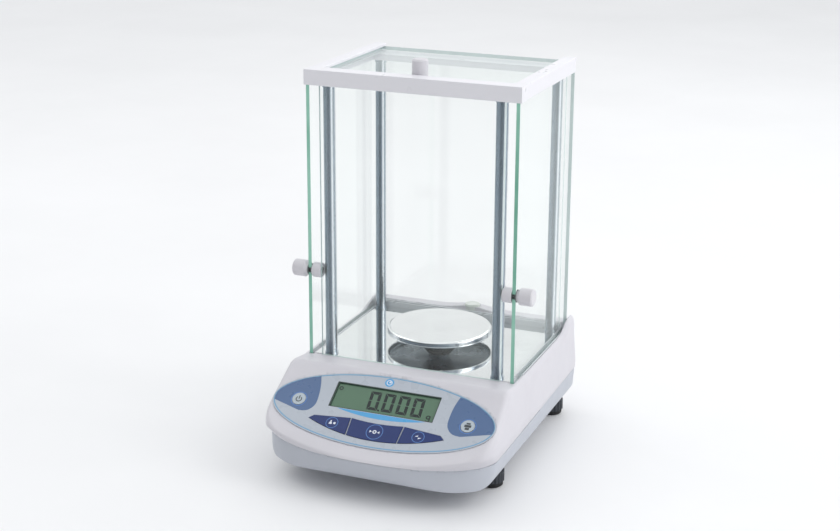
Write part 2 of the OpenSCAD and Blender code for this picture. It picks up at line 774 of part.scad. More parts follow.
module door_glass(side) {
    color([0.6, 0.85, 0.75, 0.4]) translate([side * pane_x, 0, 0]) difference() {
        block([-pane_t / 2, pane_y0, pane_z0], [pane_t / 2, pane_y1, pane_z1]);
        translate([0, door_knob_y, door_knob_z]) rotate([0, 90, 0])
            cylinder(r = 2.1, h = 10, center = true);
        block([-5, pane_y0 - 1, door_knob_z - 2.1], [5, door_knob_y, door_knob_z + 2.1]);
    }
}

// Places a shape turned about X at a door's knob, with z = 0 on the pane's outer face.
module at_knob(side) {
    mirror([side > 0 ? 0 : 1, 0, 0]) translate([pane_x + pane_t / 2, door_knob_y, door_knob_z])
        rotate([0, 90, 0]) children();
}

module outer_knob(side) {
    color([0.82, 0.81, 0.83]) at_knob(side) difference() {
        rotate_extrude() polygon([
            [0, washer_t], [4.6, washer_t], [5, 1.4], [outer_knob_r, 3.4],
            [outer_knob_r, 13], [outer_knob_r - 1, 14], [0, 14]
        ]);
        cylinder(r = 1.9 + eps, h = 7);
    }
}

module inner_knob(side) {
    z1 = -pane_t - washer_t;
    color([0.82, 0.81, 0.83]) at_knob(side) difference() {
        rotate_extrude() polygon([
            [0, z1], [inner_knob_r - 0.6, z1], [inner_knob_r, z1 - 0.6],
            [inner_knob_r, z1 - 7.2], [inner_knob_r - 0.6, z1 - 7.8], [0, z1 - 7.8]
        ]);
        translate([0, 0, z1 - 9]) cylinder(r = 1.9 + eps, h = 10);
        translate([0, 0, z1 - 9]) cylinder(r = 3 + eps, h = 3.6);
    }
}

// Clamp screw and the two dark washers of a door knob.
module door_hardware(side) {
    z1 = -pane_t - washer_t;
    color([0.16, 0.17, 0.18]) at_knob(side) {
        translate([0, 0, z1 - 7.4]) screw(3, 2, 1.9, 15.5);
        for (z = [0, z1]) translate([0, 0, z]) difference() {
            cylinder(r = 5.2, h = washer_t);
            translate([0, 0, -1]) cylinder(r = 1.9 + 3 * eps, h = 3);
        }
    }
}

module top_door_glass() {
    y0 = shield_y0 + front_rail_l - 3.6;
    color([0.75, 0.9, 0.85, 0.35]) difference() {
        mid_block(top_groove_x - 0.4, [y0, shield_y1 - 0.5], [top_pane_z, top_pane_z + pane_t]);
        translate([0, top_knob_y, top_pane_z - 1]) cylinder(r = 2 + 2 * eps, h = pane_t + 2);
    }
}

module top_door_knob() {
    z0 = top_pane_z + pane_t;
    color([0.82, 0.81, 0.83]) translate([0, top_knob_y, 0]) difference() {
        translate([0, 0, z0]) rotate_extrude() polygon([
            [0, 0], [top_knob_r, 0], [top_knob_r, top_knob_z1 - z0 - 1.2],
            [top_knob_r - 1.2, top_knob_z1 - z0], [0, top_knob_z1 - z0]
        ]);
        translate([0, 0, z0 - 1]) cylinder(r = 2 + eps, h = 8);
    }
}

module top_door_screw() {
    color([0.5, 0.51, 0.53]) translate([0, top_knob_y, top_pane_z - 2]) screw(4, 2, 2, 8);
}

// ---- feet ----

module foot_wheel(side, y) {
    color([0.13, 0.14, 0.15]) translate([side * foot_x, y, pad_h]) union() {
        difference() {
            cylinder(r = foot_d / 2, h = wheel_h);
            for (i = [0:flutes - 1]) rotate(i * 360 / flutes) translate([foot_d / 2 + 0.6, 0, -1])
                cylinder(r = 1.4, h = wheel_h + 2, $fn = 24);
        }
        cylinder(r = stud_r, h = boss_z1 - pad_h - 2);
    }
}

module foot_pad(side, y) {
    color([0.08, 0.08, 0.08]) translate([side * foot_x, y, 0]) rotate_extrude() polygon([
        [0, 0], [8, 0], [9, 1], [9, pad_h - 0.5], [8.5, pad_h], [0, pad_h]
    ]);
}

// ---- assembly ----

upper_housing();
lower_housing();
control_panel();
lcd_window();
lcd_module();
display_board();
key_switches();
chamber_floor();
load_cell();
load_cell_base();
load_cell_bolts();
main_board();
board_screws();
transformer();
display_cable();
power_inlet();
serial_port();
bubble_level();
front_rail();
side_rail(-1);  // left_rail
side_rail(1);  // right_rail
rear_cross_member();
post(front_post, -1, front_post_d);  // front_left_post
post(front_post, 1, front_post_d);  // front_right_post
post(rear_post, -1, rear_post_d);  // rear_left_post
post(rear_post, 1, rear_post_d);  // rear_right_post
post_screws();
front_glass();
back_glass();
side_track(-1);  // left_track
side_track(1);  // right_track
rear_sill();
housing_screws();
pan_support();
weighing_pan();
power_rocker();
door_glass(-1);  // left_door_glass
outer_knob(-1);  // left_door_outer_knob
inner_knob(-1);  // left_door_inner_knob
door_hardware(-1);  // left_door_hardware
door_glass(1);  // right_door_glass
outer_knob(1);  // right_door_outer_knob
inner_knob(1);  // right_door_inner_knob
door_hardware(1);  // right_door_hardware
top_door_glass();
top_door_knob();
top_door_screw();
round_key(-1);  // power_key
round_key(1);  // print_key
band_key(-1);  // calibrate_key
band_key(0);  // tare_key
band_key(1);  // mode_key
foot_wheel(-1, foot_front_y);  // foot_front_left
foot_wheel(1, foot_front_y);  // foot_front_right
foot_wheel(-1, foot_rear_y);  // foot_rear_left
foot_wheel(1, foot_rear_y);  // foot_rear_right
foot_pad(-1, foot_front_y);  // foot_pad_front_left
foot_pad(1, foot_front_y);  // foot_pad_front_right
foot_pad(-1, foot_rear_y);  // foot_pad_rear_left
foot_pad(1, foot_rear_y);  // foot_pad_rear_right
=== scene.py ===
"""Looks of an analytical balance with a glass draft shield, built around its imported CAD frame.

Lengths in the helpers are millimetres in the CAD frame: +Z up, -Y the operator's side.
"""

import json
import math

import bmesh
import bpy
from mathutils import Matrix, Vector
from mathutils.geometry import delaunay_2d_cdt


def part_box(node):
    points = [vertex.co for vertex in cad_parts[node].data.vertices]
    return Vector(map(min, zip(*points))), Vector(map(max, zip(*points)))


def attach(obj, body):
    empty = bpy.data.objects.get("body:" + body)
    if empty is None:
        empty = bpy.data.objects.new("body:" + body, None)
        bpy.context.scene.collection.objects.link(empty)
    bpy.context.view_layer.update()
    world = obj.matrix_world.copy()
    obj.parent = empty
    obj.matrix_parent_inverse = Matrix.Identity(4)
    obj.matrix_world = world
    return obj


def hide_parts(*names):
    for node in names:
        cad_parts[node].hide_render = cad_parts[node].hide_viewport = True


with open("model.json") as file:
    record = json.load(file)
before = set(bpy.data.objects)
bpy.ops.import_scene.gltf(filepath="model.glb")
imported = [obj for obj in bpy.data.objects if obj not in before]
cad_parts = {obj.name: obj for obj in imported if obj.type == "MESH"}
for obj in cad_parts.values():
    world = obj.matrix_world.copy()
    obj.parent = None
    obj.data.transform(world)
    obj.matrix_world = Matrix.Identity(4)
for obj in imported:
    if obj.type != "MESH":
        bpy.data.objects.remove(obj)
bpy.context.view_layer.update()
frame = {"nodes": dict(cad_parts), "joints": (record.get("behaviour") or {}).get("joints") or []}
NODES = frame["nodes"]
MM = 0.001


def box_mm(node):
    """Lowest and highest corner of a CAD node, in millimetres."""
    low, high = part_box(node)
    return low / MM, high / MM


# ---- places taken from the frame ----

HOUSING_LOW, HOUSING_HIGH = box_mm("upper_housing")
HALF_W = HOUSING_HIGH.x
FRONT_Y, REAR_Y = HOUSING_LOW.y, HOUSING_HIGH.y
SEAM_FRONT_Z = HOUSING_LOW.z
EAR_TOP_Z = HOUSING_HIGH.z
BASE_Z = box_mm("lower_housing")[0].z
DECK_Z = box_mm("chamber_floor")[1].z
PAN_LOW, PAN_HIGH = box_mm("weighing_pan")
PAN_CENTRE = (PAN_LOW + PAN_HIGH) / 2

PRESS_AXIS = Vector(next(j["axis"] for j in frame["joints"] if j["name"] == "tare_key_press"))
PANEL_N = -PRESS_AXIS.normalized()
PANEL_S = PANEL_N.cross(Vector((1, 0, 0)))
FACE_SLOPE = PANEL_S.z / PANEL_S.y
PANEL_A = box_mm("control_panel")[1].x
PANEL_B = 34.6
PANEL_PROUD = 0.2
PANEL_T = 1.4
PANEL_O = sum(box_mm("control_panel"), Vector()) / 2 + PANEL_N * (PANEL_T / 2 - PANEL_PROUD)
PANEL = Matrix.Translation(PANEL_O) @ Matrix((
    (1, PANEL_S.x, PANEL_N.x, 0), (0, PANEL_S.y, PANEL_N.y, 0), (0, PANEL_S.z, PANEL_N.z, 0), (0, 0, 0, 1)
))


# ---- node materials ----

def srgb(r, g, b):
    """Linear colour from 8-bit sRGB."""
    def lin(c):
        c /= 255
        return c / 12.92 if c <= 0.04045 else ((c + 0.055) / 1.055) ** 2.4
    return (lin(r), lin(g), lin(b), 1)


class Nodes:
    """Short names for building a material's node tree."""

    def __init__(self, name):
        self.material = bpy.data.materials.new(name)
        self.material.use_nodes = True
        self.tree = self.material.node_tree
        self.bsdf = self.tree.nodes["Principled BSDF"]
        self.output = self.tree.nodes["Material Output"]
        self.coords = self.add("ShaderNodeTexCoord").outputs["Object"]

    def add(self, kind, **values):
        node = self.tree.nodes.new(kind)
        for key, value in values.items():
            setattr(node, key, value)
        return node

    def link(self, a, b):
        self.tree.links.new(a, b)

    def noise(self, scale, detail=2.0, stretch=(1, 1, 1)):
        """Noise over object space, scale in cells per metre."""
        mapping = self.add("ShaderNodeMapping")
        mapping.inputs["Scale"].default_value = stretch
        self.link(self.coords, mapping.inputs["Vector"])
        node = self.add("ShaderNodeTexNoise")
        node.inputs["Scale"].default_value = scale
        node.inputs["Detail"].default_value = detail
        self.link(mapping.outputs["Vector"], node.inputs["Vector"])
        return node.outputs["Fac"]

    def remap(self, value, low, high, from_low=0.3, from_high=0.7):
        node = self.add("ShaderNodeMapRange")
        node.inputs["From Min"].default_value = from_low
        node.inputs["From Max"].default_value = from_high
        node.inputs["To Min"].default_value = low
        node.inputs["To Max"].default_value = high
        self.link(value, node.inputs["Value"])
        return node.outputs["Result"]

    def mix(self, factor, a, b):
        """Mixes two colours; each is an RGBA tuple or a socket."""
        node = self.add("ShaderNodeMix", data_type="RGBA")
        self.link(factor, node.inputs["Factor"])
        for value, socket in ((a, node.inputs[6]), (b, node.inputs[7])):
            if isinstance(value, bpy.types.NodeSocket):
                self.link(value, socket)
            else:
                socket.default_value = value
        return node.outputs[2]

    def edge(self, radius, low=0.02, high=0.25):
        """1 along convex and concave edges, 0 on flats."""
        bevel = self.add("ShaderNodeBevel", samples=4)
        bevel.inputs["Radius"].default_value = radius
        geometry = self.add("ShaderNodeNewGeometry")
        dot = self.add("ShaderNodeVectorMath", operation="DOT_PRODUCT")
        self.link(bevel.outputs["Normal"], dot.inputs[0])
        self.link(geometry.outputs["Normal"], dot.inputs[1])
        return self.remap(dot.outputs["Value"], 1, 0, 1 - high, 1 - low)

    def bump(self, height, distance, strength=1.0):
        node = self.add("ShaderNodeBump")
        node.inputs["Strength"].default_value = strength
        node.inputs["Distance"].default_value = distance
        self.link(height, node.inputs["Height"])
        self.link(node.outputs["Normal"], self.bsdf.inputs["Normal"])


def shade(colour, factor):
    return tuple(c * factor for c in colour[:3]) + (1,)


def surface(name, colour, rough=0.45, metallic=0.0, vary=0.05, grain=900, grain_depth=0.00003,
            broad=18, wear=0.0, wear_colour=None, stretch=(1, 1, 1), coat=0.0, specular=0.5):
    """A moulded, painted or metal surface: broad tone drift, fine grain, uneven gloss and worn edges."""
    n = Nodes(name)
    colour = n.mix(n.remap(n.noise(broad, 3), 0, 1), shade(colour, 1 - vary), shade(colour, 1 + vary))
    rough_out = n.remap(n.noise(broad * 6, 4, stretch), max(rough - 0.07, 0.02), rough + 0.07)
    if wear:
        edge = n.edge(0.0006)
        patchy = n.add("ShaderNodeMath", operation="MULTIPLY")
        n.link(edge, patchy.inputs[0])
        n.link(n.remap(n.noise(160, 4), 0, wear), patchy.inputs[1])
        colour = n.mix(patchy.outputs["Value"], colour, wear_colour or (0.8, 0.8, 0.82, 1))
    n.link(colour, n.bsdf.inputs["Base Color"])
    n.link(rough_out, n.bsdf.inputs["Roughness"])
    n.bsdf.inputs["Metallic"].default_value = metallic
    n.bsdf.inputs["Coat Weight"].default_value = coat
    n.bsdf.inputs["Coat Roughness"].default_value = 0.12
    n.bsdf.inputs["Specular IOR Level"].default_value = specular
    n.bump(n.noise(grain, 2, stretch), grain_depth)
    return n.material


def painted_reflection_bands(name, rough, stops):
    """Polished round stock coloured with painted reflection: bands of dark and bright steel, placed by the
    way the surface faces.
    """
    n = Nodes(name)
    geometry = n.add("ShaderNodeNewGeometry")
    split = n.add("ShaderNodeSeparateXYZ")
    n.link(geometry.outputs["Normal"], split.inputs[0])
    angle = n.add("ShaderNodeMath", operation="ARCTAN2")
    n.link(split.outputs["Y"], angle.inputs[0])
    n.link(split.outputs["X"], angle.inputs[1])
    ramp = n.add("ShaderNodeValToRGB")
    n.link(n.remap(angle.outputs["Value"], 0, 1, -math.pi, math.pi), ramp.inputs["Fac"])
    elements = ramp.color_ramp.elements
    for position, _ in stops[1:-1]:
        elements.new(position)
    for element, (position, colour) in zip(elements, stops):
        element.position = position
        element.color = colour
    tone = n.mix(n.remap(n.noise(60, 4, (1, 1, 0.04)), 0, 1), ramp.outputs["Color"], srgb(176, 188, 198))
    soft = n.add("ShaderNodeMix", data_type="RGBA")
    soft.inputs["Factor"].default_value = 0.8
    n.link(tone, soft.inputs[6])
    n.link(ramp.outputs["Color"], soft.inputs[7])
    n.link(soft.outputs[2], n.bsdf.inputs["Base Color"])
    n.link(n.remap(n.noise(90, 4, (1, 1, 0.015)), rough - 0.05, rough + 0.08), n.bsdf.inputs["Roughness"])
    n.bsdf.inputs["Metallic"].default_value = 1
    n.bump(n.noise(2600, 2, (1, 1, 0.015)), 0.000003)
    return n.material


def turned(name, colour, rough, centre, rings=900, depth=0.000004):
    """Polished metal with faint turning marks about a vertical axis."""
    n = Nodes(name)
    mapping = n.add("ShaderNodeMapping")
    mapping.inputs["Location"].default_value = tuple(-c * MM for c in centre)
    n.link(n.coords, mapping.inputs["Vector"])
    wave = n.add("ShaderNodeTexWave", wave_type="RINGS", rings_direction="Z")
    wave.inputs["Scale"].default_value = rings
    wave.inputs["Distortion"].default_value = 1.5
    wave.inputs["Detail"].default_value = 3
    n.link(mapping.outputs["Vector"], wave.inputs["Vector"])
    tone = n.mix(n.remap(n.noise(30, 4), 0, 1), shade(colour, 0.94), colour)
    n.link(tone, n.bsdf.inputs["Base Color"])
    n.link(n.remap(n.noise(70, 5), rough * 0.6, rough * 1.5), n.bsdf.inputs["Roughness"])
    n.bsdf.inputs["Metallic"].default_value = 1
    n.bump(wave.outputs["Fac"], depth)
    return n.material


def pane(name, tint, gloss=0.06, base=0.03):
    """Clear sheet glass: see-through, shinier at a glancing angle, with faint wiped-on haze."""
    n = Nodes(name)
    n.tree.nodes.remove(n.bsdf)
    clear = n.add("ShaderNodeBsdfTransparent")
    clear.inputs["Color"].default_value = tint
    shine = n.add("ShaderNodeBsdfGlossy")
    shine.inputs["Color"].default_value = (0.95, 1, 0.98, 1)
    n.link(n.remap(n.noise(45, 5, (1, 1, 0.3)), gloss * 0.5, gloss * 2), shine.inputs["Roughness"])
    facing = n.add("ShaderNodeLayerWeight")
    glance = n.add("ShaderNodeMath", operation="POWER")
    n.link(facing.outputs["Facing"], glance.inputs[0])
    glance.inputs[1].default_value = 4
    sheen = n.add("ShaderNodeMath", operation="MULTIPLY_ADD")
    n.link(glance.outputs["Value"], sheen.inputs[0])
    sheen.inputs[1].default_value = 0.45
    sheen.inputs[2].default_value = 0.03
    haze = n.add("ShaderNodeMath", operation="ADD")
    n.link(sheen.outputs["Value"], haze.inputs[0])
    n.link(n.remap(n.noise(12, 4), 0, base), haze.inputs[1])
    mix = n.add("ShaderNodeMixShader")
    n.link(haze.outputs["Value"], mix.inputs[0])
    n.link(clear.outputs["BSDF"], mix.inputs[1])
    n.link(shine.outputs["BSDF"], mix.inputs[2])
    n.link(mix.outputs["Shader"], n.output.inputs["Surface"])
    return n.material


HOUSING = surface("housing_light", srgb(212, 210, 216), 0.42, vary=0.015, grain=1400, grain_depth=0.00002,
                  wear=0.25, wear_colour=srgb(240, 240, 242))
# Lower shell: a darker, bluer copy of the housing colour, painted shade for the dim light low on the balance.
HOUSING_PAINTED_SHADE = surface("housing_shade", srgb(188, 192, 201), 0.45, vary=0.02, grain=1400,
                        grain_depth=0.00002, wear=0.25, wear_colour=srgb(225, 226, 230))
OVERLAY = surface("panel_overlay", srgb(182, 189, 199), 0.3, vary=0.01, grain=3500, grain_depth=0.000006,
                  coat=0.15)
ZONE_BLUE = surface("zone_blue", srgb(80, 107, 148), 0.32, vary=0.02, grain=3500, grain_depth=0.000006,
                    coat=0.15)
LINE_BLUE = surface("line_blue", srgb(120, 165, 198), 0.32, vary=0.02, grain=3500, grain_depth=0.000004)
SKY_BLUE = surface("sky_blue", srgb(86, 165, 218), 0.32, vary=0.02, grain=3500, grain_depth=0.000004)
KEY_BLUE = surface("key_blue", srgb(22, 46, 106), 0.35, vary=0.03, grain=2500, grain_depth=0.00001,
                   wear=0.3, wear_colour=srgb(90, 115, 170))
RING_BLUE = surface("ring_blue", srgb(88, 128, 190), 0.35, vary=0.03, grain=2500, grain_depth=0.000004)
KEY_LIGHT = surface("key_light", srgb(180, 191, 199), 0.35, vary=0.02, grain=2500, grain_depth=0.00001,
                    wear=0.2, wear_colour=srgb(225, 228, 232))
PRINT_WHITE = surface("print_white", srgb(225, 230, 240), 0.4, vary=0.02, grain=2500, grain_depth=0.000004)
PRINT_DARK = surface("print_dark", srgb(60, 66, 70), 0.4, vary=0.03, grain=2500, grain_depth=0.000004)
LCD_GREEN = surface("lcd_glass", srgb(82, 116, 92), 0.16, vary=0.03, grain=2200, grain_depth=0.000003,
                    coat=0.4)
LCD_DARK = surface("lcd_segment", srgb(16, 32, 31), 0.3, vary=0.03, grain=2500, grain_depth=0.000004)
LCD_FRAME_AND_SHADOW = surface("lcd_frame_and_shadow", srgb(50, 66, 60), 0.5, vary=0.04, grain=1800, grain_depth=0.00001)
FRAME_LIGHT = surface("frame_light", srgb(232, 231, 236), 0.34, vary=0.015, grain=1600, grain_depth=0.000012,
                      wear=0.3, wear_colour=srgb(240, 240, 244))
KNOB = surface("knob_light", srgb(214, 212, 217), 0.38, vary=0.02, grain=2000, grain_depth=0.000012,
               wear=0.35, wear_colour=srgb(238, 237, 240))
# Tones of the painted reflection bands on the posts and on the pan rim.
DARK, DUSK, MIDDLE, BRIGHT = srgb(66, 82, 96), srgb(118, 133, 146), srgb(176, 188, 198), srgb(238, 241, 245)
# Posts: painted reflection, dark and bright bands set by the way each side of a post faces.
CHROME_PAINTED_REFLECTION = painted_reflection_bands("post_chrome", 0.2, (
    (0, MIDDLE), (0.1, DUSK), (0.235, DUSK), (0.275, DARK), (0.305, DARK), (0.34, DUSK), (0.37, BRIGHT),
    (0.395, BRIGHT), (0.42, MIDDLE), (0.455, DUSK), (0.5, BRIGHT), (0.6, DARK), (0.8, DARK), (0.86, BRIGHT),
    (1, MIDDLE)))
# Pan rim: painted reflection, dark and bright bands set by the way the rim's flank faces.
PAN_RIM_PAINTED_REFLECTION = painted_reflection_bands("pan_rim_painted_reflection", 0.12, (
    (0, DUSK), (0.09, DARK), (0.15, BRIGHT), (0.2, DUSK), (0.26, DARK), (0.33, DUSK), (0.38, BRIGHT),
    (0.43, DARK), (0.5, BRIGHT), (0.62, DARK), (0.75, BRIGHT), (0.88, DARK), (1, DUSK)))
TRACK = surface("track_aluminium", srgb(212, 216, 220), 0.32, 0.2, vary=0.02, grain=1800,
                grain_depth=0.000006, stretch=(1, 0.02, 1), wear=0.3)
STEEL = surface("plate_steel", srgb(170, 174, 178), 0.3, 1.0, vary=0.05, grain=1500, grain_depth=0.000006,
                wear=0.3)
SCREW = surface("screw_steel", srgb(168, 170, 174), 0.3, 1.0, vary=0.06, grain=2000, grain_depth=0.000008,
                wear=0.4)
CAST = surface("cell_aluminium", srgb(196, 198, 200), 0.34, 1.0, vary=0.04, grain=1500, grain_depth=0.00001,
               stretch=(1, 0.05, 1), wear=0.3)
CORE = surface("core_steel", srgb(92, 86, 80), 0.5, 0.6, vary=0.1, grain=900, grain_depth=0.00004,
               stretch=(1, 1, 8))
BOARD = surface("pcb", srgb(30, 92, 56), 0.35, vary=0.08, grain=1400, grain_depth=0.00002, coat=0.3)
CABLE = surface("cable_grey", srgb(150, 154, 160), 0.5, vary=0.05, grain=700, grain_depth=0.00004,
                stretch=(4, 0.2, 0.2))
BLACK = surface("connector_black", srgb(34, 35, 38), 0.4, vary=0.08, grain=1500, grain_depth=0.00003,
                wear=0.35, wear_colour=srgb(96, 98, 102))
METAL = surface("connector_metal", srgb(190, 192, 196), 0.3, 1.0, vary=0.05, grain=1600, grain_depth=0.000008,
                wear=0.3)
HUB = surface("hub_dark", srgb(62, 66, 74), 0.26, 0.7, vary=0.06, grain=1800, grain_depth=0.00001,
              wear=0.3, wear_colour=srgb(150, 154, 160))
WASHER = surface("washer_dark", srgb(120, 128, 127), 0.5, vary=0.06, grain=1500, grain_depth=0.00002,
                 wear=0.2, wear_colour=srgb(110, 112, 116))
FOOT = surface("foot_black", srgb(52, 57, 64), 0.42, vary=0.08, grain=1300, grain_depth=0.00003,
               wear=0.5, wear_colour=srgb(110, 114, 122))
RUBBER = surface("pad_rubber", srgb(34, 35, 37), 0.75, vary=0.12, grain=900, grain_depth=0.00006)
FLOOR_MIRROR = turned("floor_steel", srgb(244, 246, 246), 0.05, (0, PAN_CENTRE.y, 0), 260, 0.0000012)
PAN_STEEL = turned("pan_steel", srgb(249, 250, 250), 0.14, (0, PAN_CENTRE.y, 0), 420, 0.000003)
# Underside of the pan: the same turned steel made much darker, a painted shade under the dish.
PAN_UNDER_PAINTED_SHADE = turned("pan_under_painted_shade", srgb(120, 128, 134), 0.3, (0, PAN_CENTRE.y, 0), 300, 0.000004)
CLEAR = pane("shield_glass", (0.994, 0.997, 0.995, 1))
DOOR_CLEAR = pane("door_glass", (0.994, 0.998, 0.996, 1))
FLUID = surface("level_fluid", srgb(218, 223, 216), 0.12, vary=0.05, grain=300, grain_depth=0.00001, coat=1.0)


def green_edge_painted_glow():
    """Polished green edge of the sliding panes: deep green patches over pale green, with a faint emission
    that paints a glow.
    """
    n = Nodes("glass_edge_painted_glow")
    patches = n.remap(n.noise(22, 3, (1, 1, 0.6)), 0, 1, 0.35, 0.62)
    tone = n.mix(patches, srgb(98, 166, 142), srgb(150, 204, 184))
    n.link(tone, n.bsdf.inputs["Base Color"])
    n.link(n.remap(n.noise(90, 3), 0.06, 0.2), n.bsdf.inputs["Roughness"])
    # Faint emission: a painted glow along the edge.
    n.link(tone, n.bsdf.inputs["Emission Color"])
    n.bsdf.inputs["Emission Strength"].default_value = 0.05
    n.bsdf.inputs["Coat Weight"].default_value = 0.5
    n.bump(n.noise(500, 2), 0.00001)
    return n.material


GREEN_EDGE_PAINTED_GLOW = green_edge_painted_glow()
PALE_EDGE = surface("pale_edge", srgb(206, 222, 220), 0.2, vary=0.04, grain=900, grain_depth=0.00001,
                    coat=0.4)

FINISH = {
    "control_panel": OVERLAY, "lcd_module": LCD_GREEN, "display_board": BOARD, "key_switches": BLACK,
    "chamber_floor": FLOOR_MIRROR, "load_cell": CAST, "load_cell_base": STEEL, "load_cell_bolts": SCREW,
    "main_board": BOARD, "board_screws": SCREW, "transformer": CORE, "display_cable": CABLE,
    "power_inlet": BLACK, "serial_port": METAL, "bubble_level": FLUID, "front_rail": FRAME_LIGHT,
    "left_rail": FRAME_LIGHT, "right_rail": FRAME_LIGHT, "rear_cross_member": FRAME_LIGHT,
    "post_screws": SCREW, "left_track": TRACK, "right_track": TRACK, "rear_sill": TRACK,
    "housing_screws": SCREW, "pan_support": HUB, "power_rocker": BLACK, "top_door_screw": SCREW,
    "left_door_hardware": WASHER, "right_door_hardware": WASHER, "power_key": KEY_LIGHT,
    "print_key": KEY_LIGHT, "tare_key": KEY_BLUE, "mode_key": KEY_BLUE, "calibrate_key": KEY_BLUE,
    "upper_housing": HOUSING, "lower_housing": HOUSING_PAINTED_SHADE, "weighing_pan": PAN_STEEL,
    "lcd_window": LCD_FRAME_AND_SHADOW, "top_door_knob": KNOB,
}
for side in ("left", "right"):
    FINISH[f"{side}_door_outer_knob"] = KNOB
    FINISH[f"{side}_door_inner_knob"] = KNOB
    for end in ("front", "rear"):
        FINISH[f"{end}_{side}_post"] = CHROME_PAINTED_REFLECTION
        FINISH[f"foot_{end}_{side}"] = FOOT
        FINISH[f"foot_pad_{end}_{side}"] = RUBBER
for node_name, finish in FINISH.items():
    node_mesh = NODES[node_name].data
    node_mesh.materials.clear()
    node_mesh.materials.append(finish)

# Panes: clear faces, and cut edges with their own finish; on the side panes only the front-facing edges get
# the green finish with its painted glow, the rest stay pale. Each pane has the axis across its thickness.
for node_name, axis, face, edge in (
    ("front_glass", 1, CLEAR, PALE_EDGE), ("back_glass", 1, CLEAR, PALE_EDGE),
    ("top_door_glass", 2, DOOR_CLEAR, PALE_EDGE),
    ("left_door_glass", 0, DOOR_CLEAR, GREEN_EDGE_PAINTED_GLOW), ("right_door_glass", 0, DOOR_CLEAR, GREEN_EDGE_PAINTED_GLOW),
):
    node_mesh = NODES[node_name].data
    node_mesh.materials.clear()
    for finish in (face, edge, PALE_EDGE):
        node_mesh.materials.append(finish)
    for polygon in node_mesh.polygons:
        cut = 2 if edge is GREEN_EDGE_PAINTED_GLOW and polygon.normal.y > -0.9 else 1
        polygon.material_index = 0 if abs(polygon.normal[axis]) > 0.9 else cut


# ---- mesh helpers ----

def add_piece(name, mesh, material, body, replaces=(), matrix=None, smooth=40):
    """Links a mesh given in millimetres as a piece that rides on a CAD body."""
    mesh.transform(Matrix.Diagonal((MM, MM, MM, 1)) @ (matrix or Matrix.Identity(4)))
    mesh.materials.append(material)
    obj = bpy.data.objects.new(name, mesh)
    bpy.context.scene.collection.objects.link(obj)
    if smooth:
        mesh.shade_smooth()
        mesh.set_sharp_from_angle(angle=math.radians(smooth))
    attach(obj, body)
    if replaces:
        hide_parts(*replaces)
    return obj


def mesh_from(name, verts, faces):
    mesh = bpy.data.meshes.new(name)
    mesh.from_pydata([tuple(v) for v in verts], [], faces)
    work = bmesh.new()
    work.from_mesh(mesh)
    bmesh.ops.remove_doubles(work, verts=work.verts, dist=1e-4)
    bmesh.ops.recalc_face_normals(work, faces=work.faces)
    work.to_mesh(mesh)
    work.free()
    return mesh


def lathe(name, profile, segments=72):
    """Revolves (radius, height) points about Z."""
    verts, faces = [], []
    count = len(profile)
    for i in range(segments):
        a = 2 * math.pi * i / segments
        verts += [(r * math.cos(a), r * math.sin(a), z) for r, z in profile]
        j = (i + 1) % segments
        for k in range(count - 1):
            faces.append((i * count + k, j * count + k, j * count + k + 1, i * count + k + 1))
    return mesh_from(name, verts, faces)


def flat(name, loops, thickness):
    """A thin sheet cut to closed outlines; an outline inside another is a hole."""
    curve = bpy.data.curves.new(name, "CURVE")
    curve.dimensions = "2D"
    curve.fill_mode = "BOTH"
    curve.extrude = thickness / 2
    for loop in loops:
        spline = curve.splines.new("POLY")
        spline.points.add(len(loop) - 1)
        for point, (x, y) in zip(spline.points, loop):
            point.co = (x, y, 0, 1)
        spline.use_cyclic_u = True
    holder = bpy.data.objects.new(name, curve)
    mesh = bpy.data.meshes.new_from_object(holder)
    bpy.data.objects.remove(holder)
    bpy.data.curves.remove(curve)
    mesh.materials.clear()
    return mesh


def arc(cx, cy, r, a0, a1, n):
    steps = [math.radians(a0 + (a1 - a0) * i / n) for i in range(n + 1)]
    return [(cx + r * math.cos(a), cy + r * math.sin(a)) for a in steps]


def circle(cx, cy, r, n=48):
    return arc(cx, cy, r, 0, 360 - 360 / n, n - 1)


def rounded_rect(cx, cy, w, h, r, n=5):
    x, y = w / 2 - r, h / 2 - r
    return (arc(cx + x, cy + y, r, 0, 90, n) + arc(cx - x, cy + y, r, 90, 180, n)
            + arc(cx - x, cy - y, r, 180, 270, n) + arc(cx + x, cy - y, r, 270, 360, n))


def smooth_line(points, steps=8):
    """Catmull-Rom curve through an open row of points."""
    row = [points[0], *points, points[-1]]
    out = []
    for p0, p1, p2, p3 in zip(row, row[1:], row[2:], row[3:]):
        for i in range(steps):
            t = i / steps
            out.append(tuple(
                0.5 * (2 * b + (c - a) * t + (2 * a - 5 * b + 4 * c - d) * t * t
                       + (3 * b - a - 3 * c + d) * t ** 3)
                for a, b, c, d in zip(p0, p1, p2, p3)
            ))
    return out + [points[-1]]


def cad_copy(node):
    """A closed copy of a CAD node's mesh, with its corners joined."""
    mesh = NODES[node].data.copy()
    work = bmesh.new()
    work.from_mesh(mesh)
    bmesh.ops.remove_doubles(work, verts=work.verts, dist=1e-6)
    work.to_mesh(mesh)
    work.free()
    return mesh


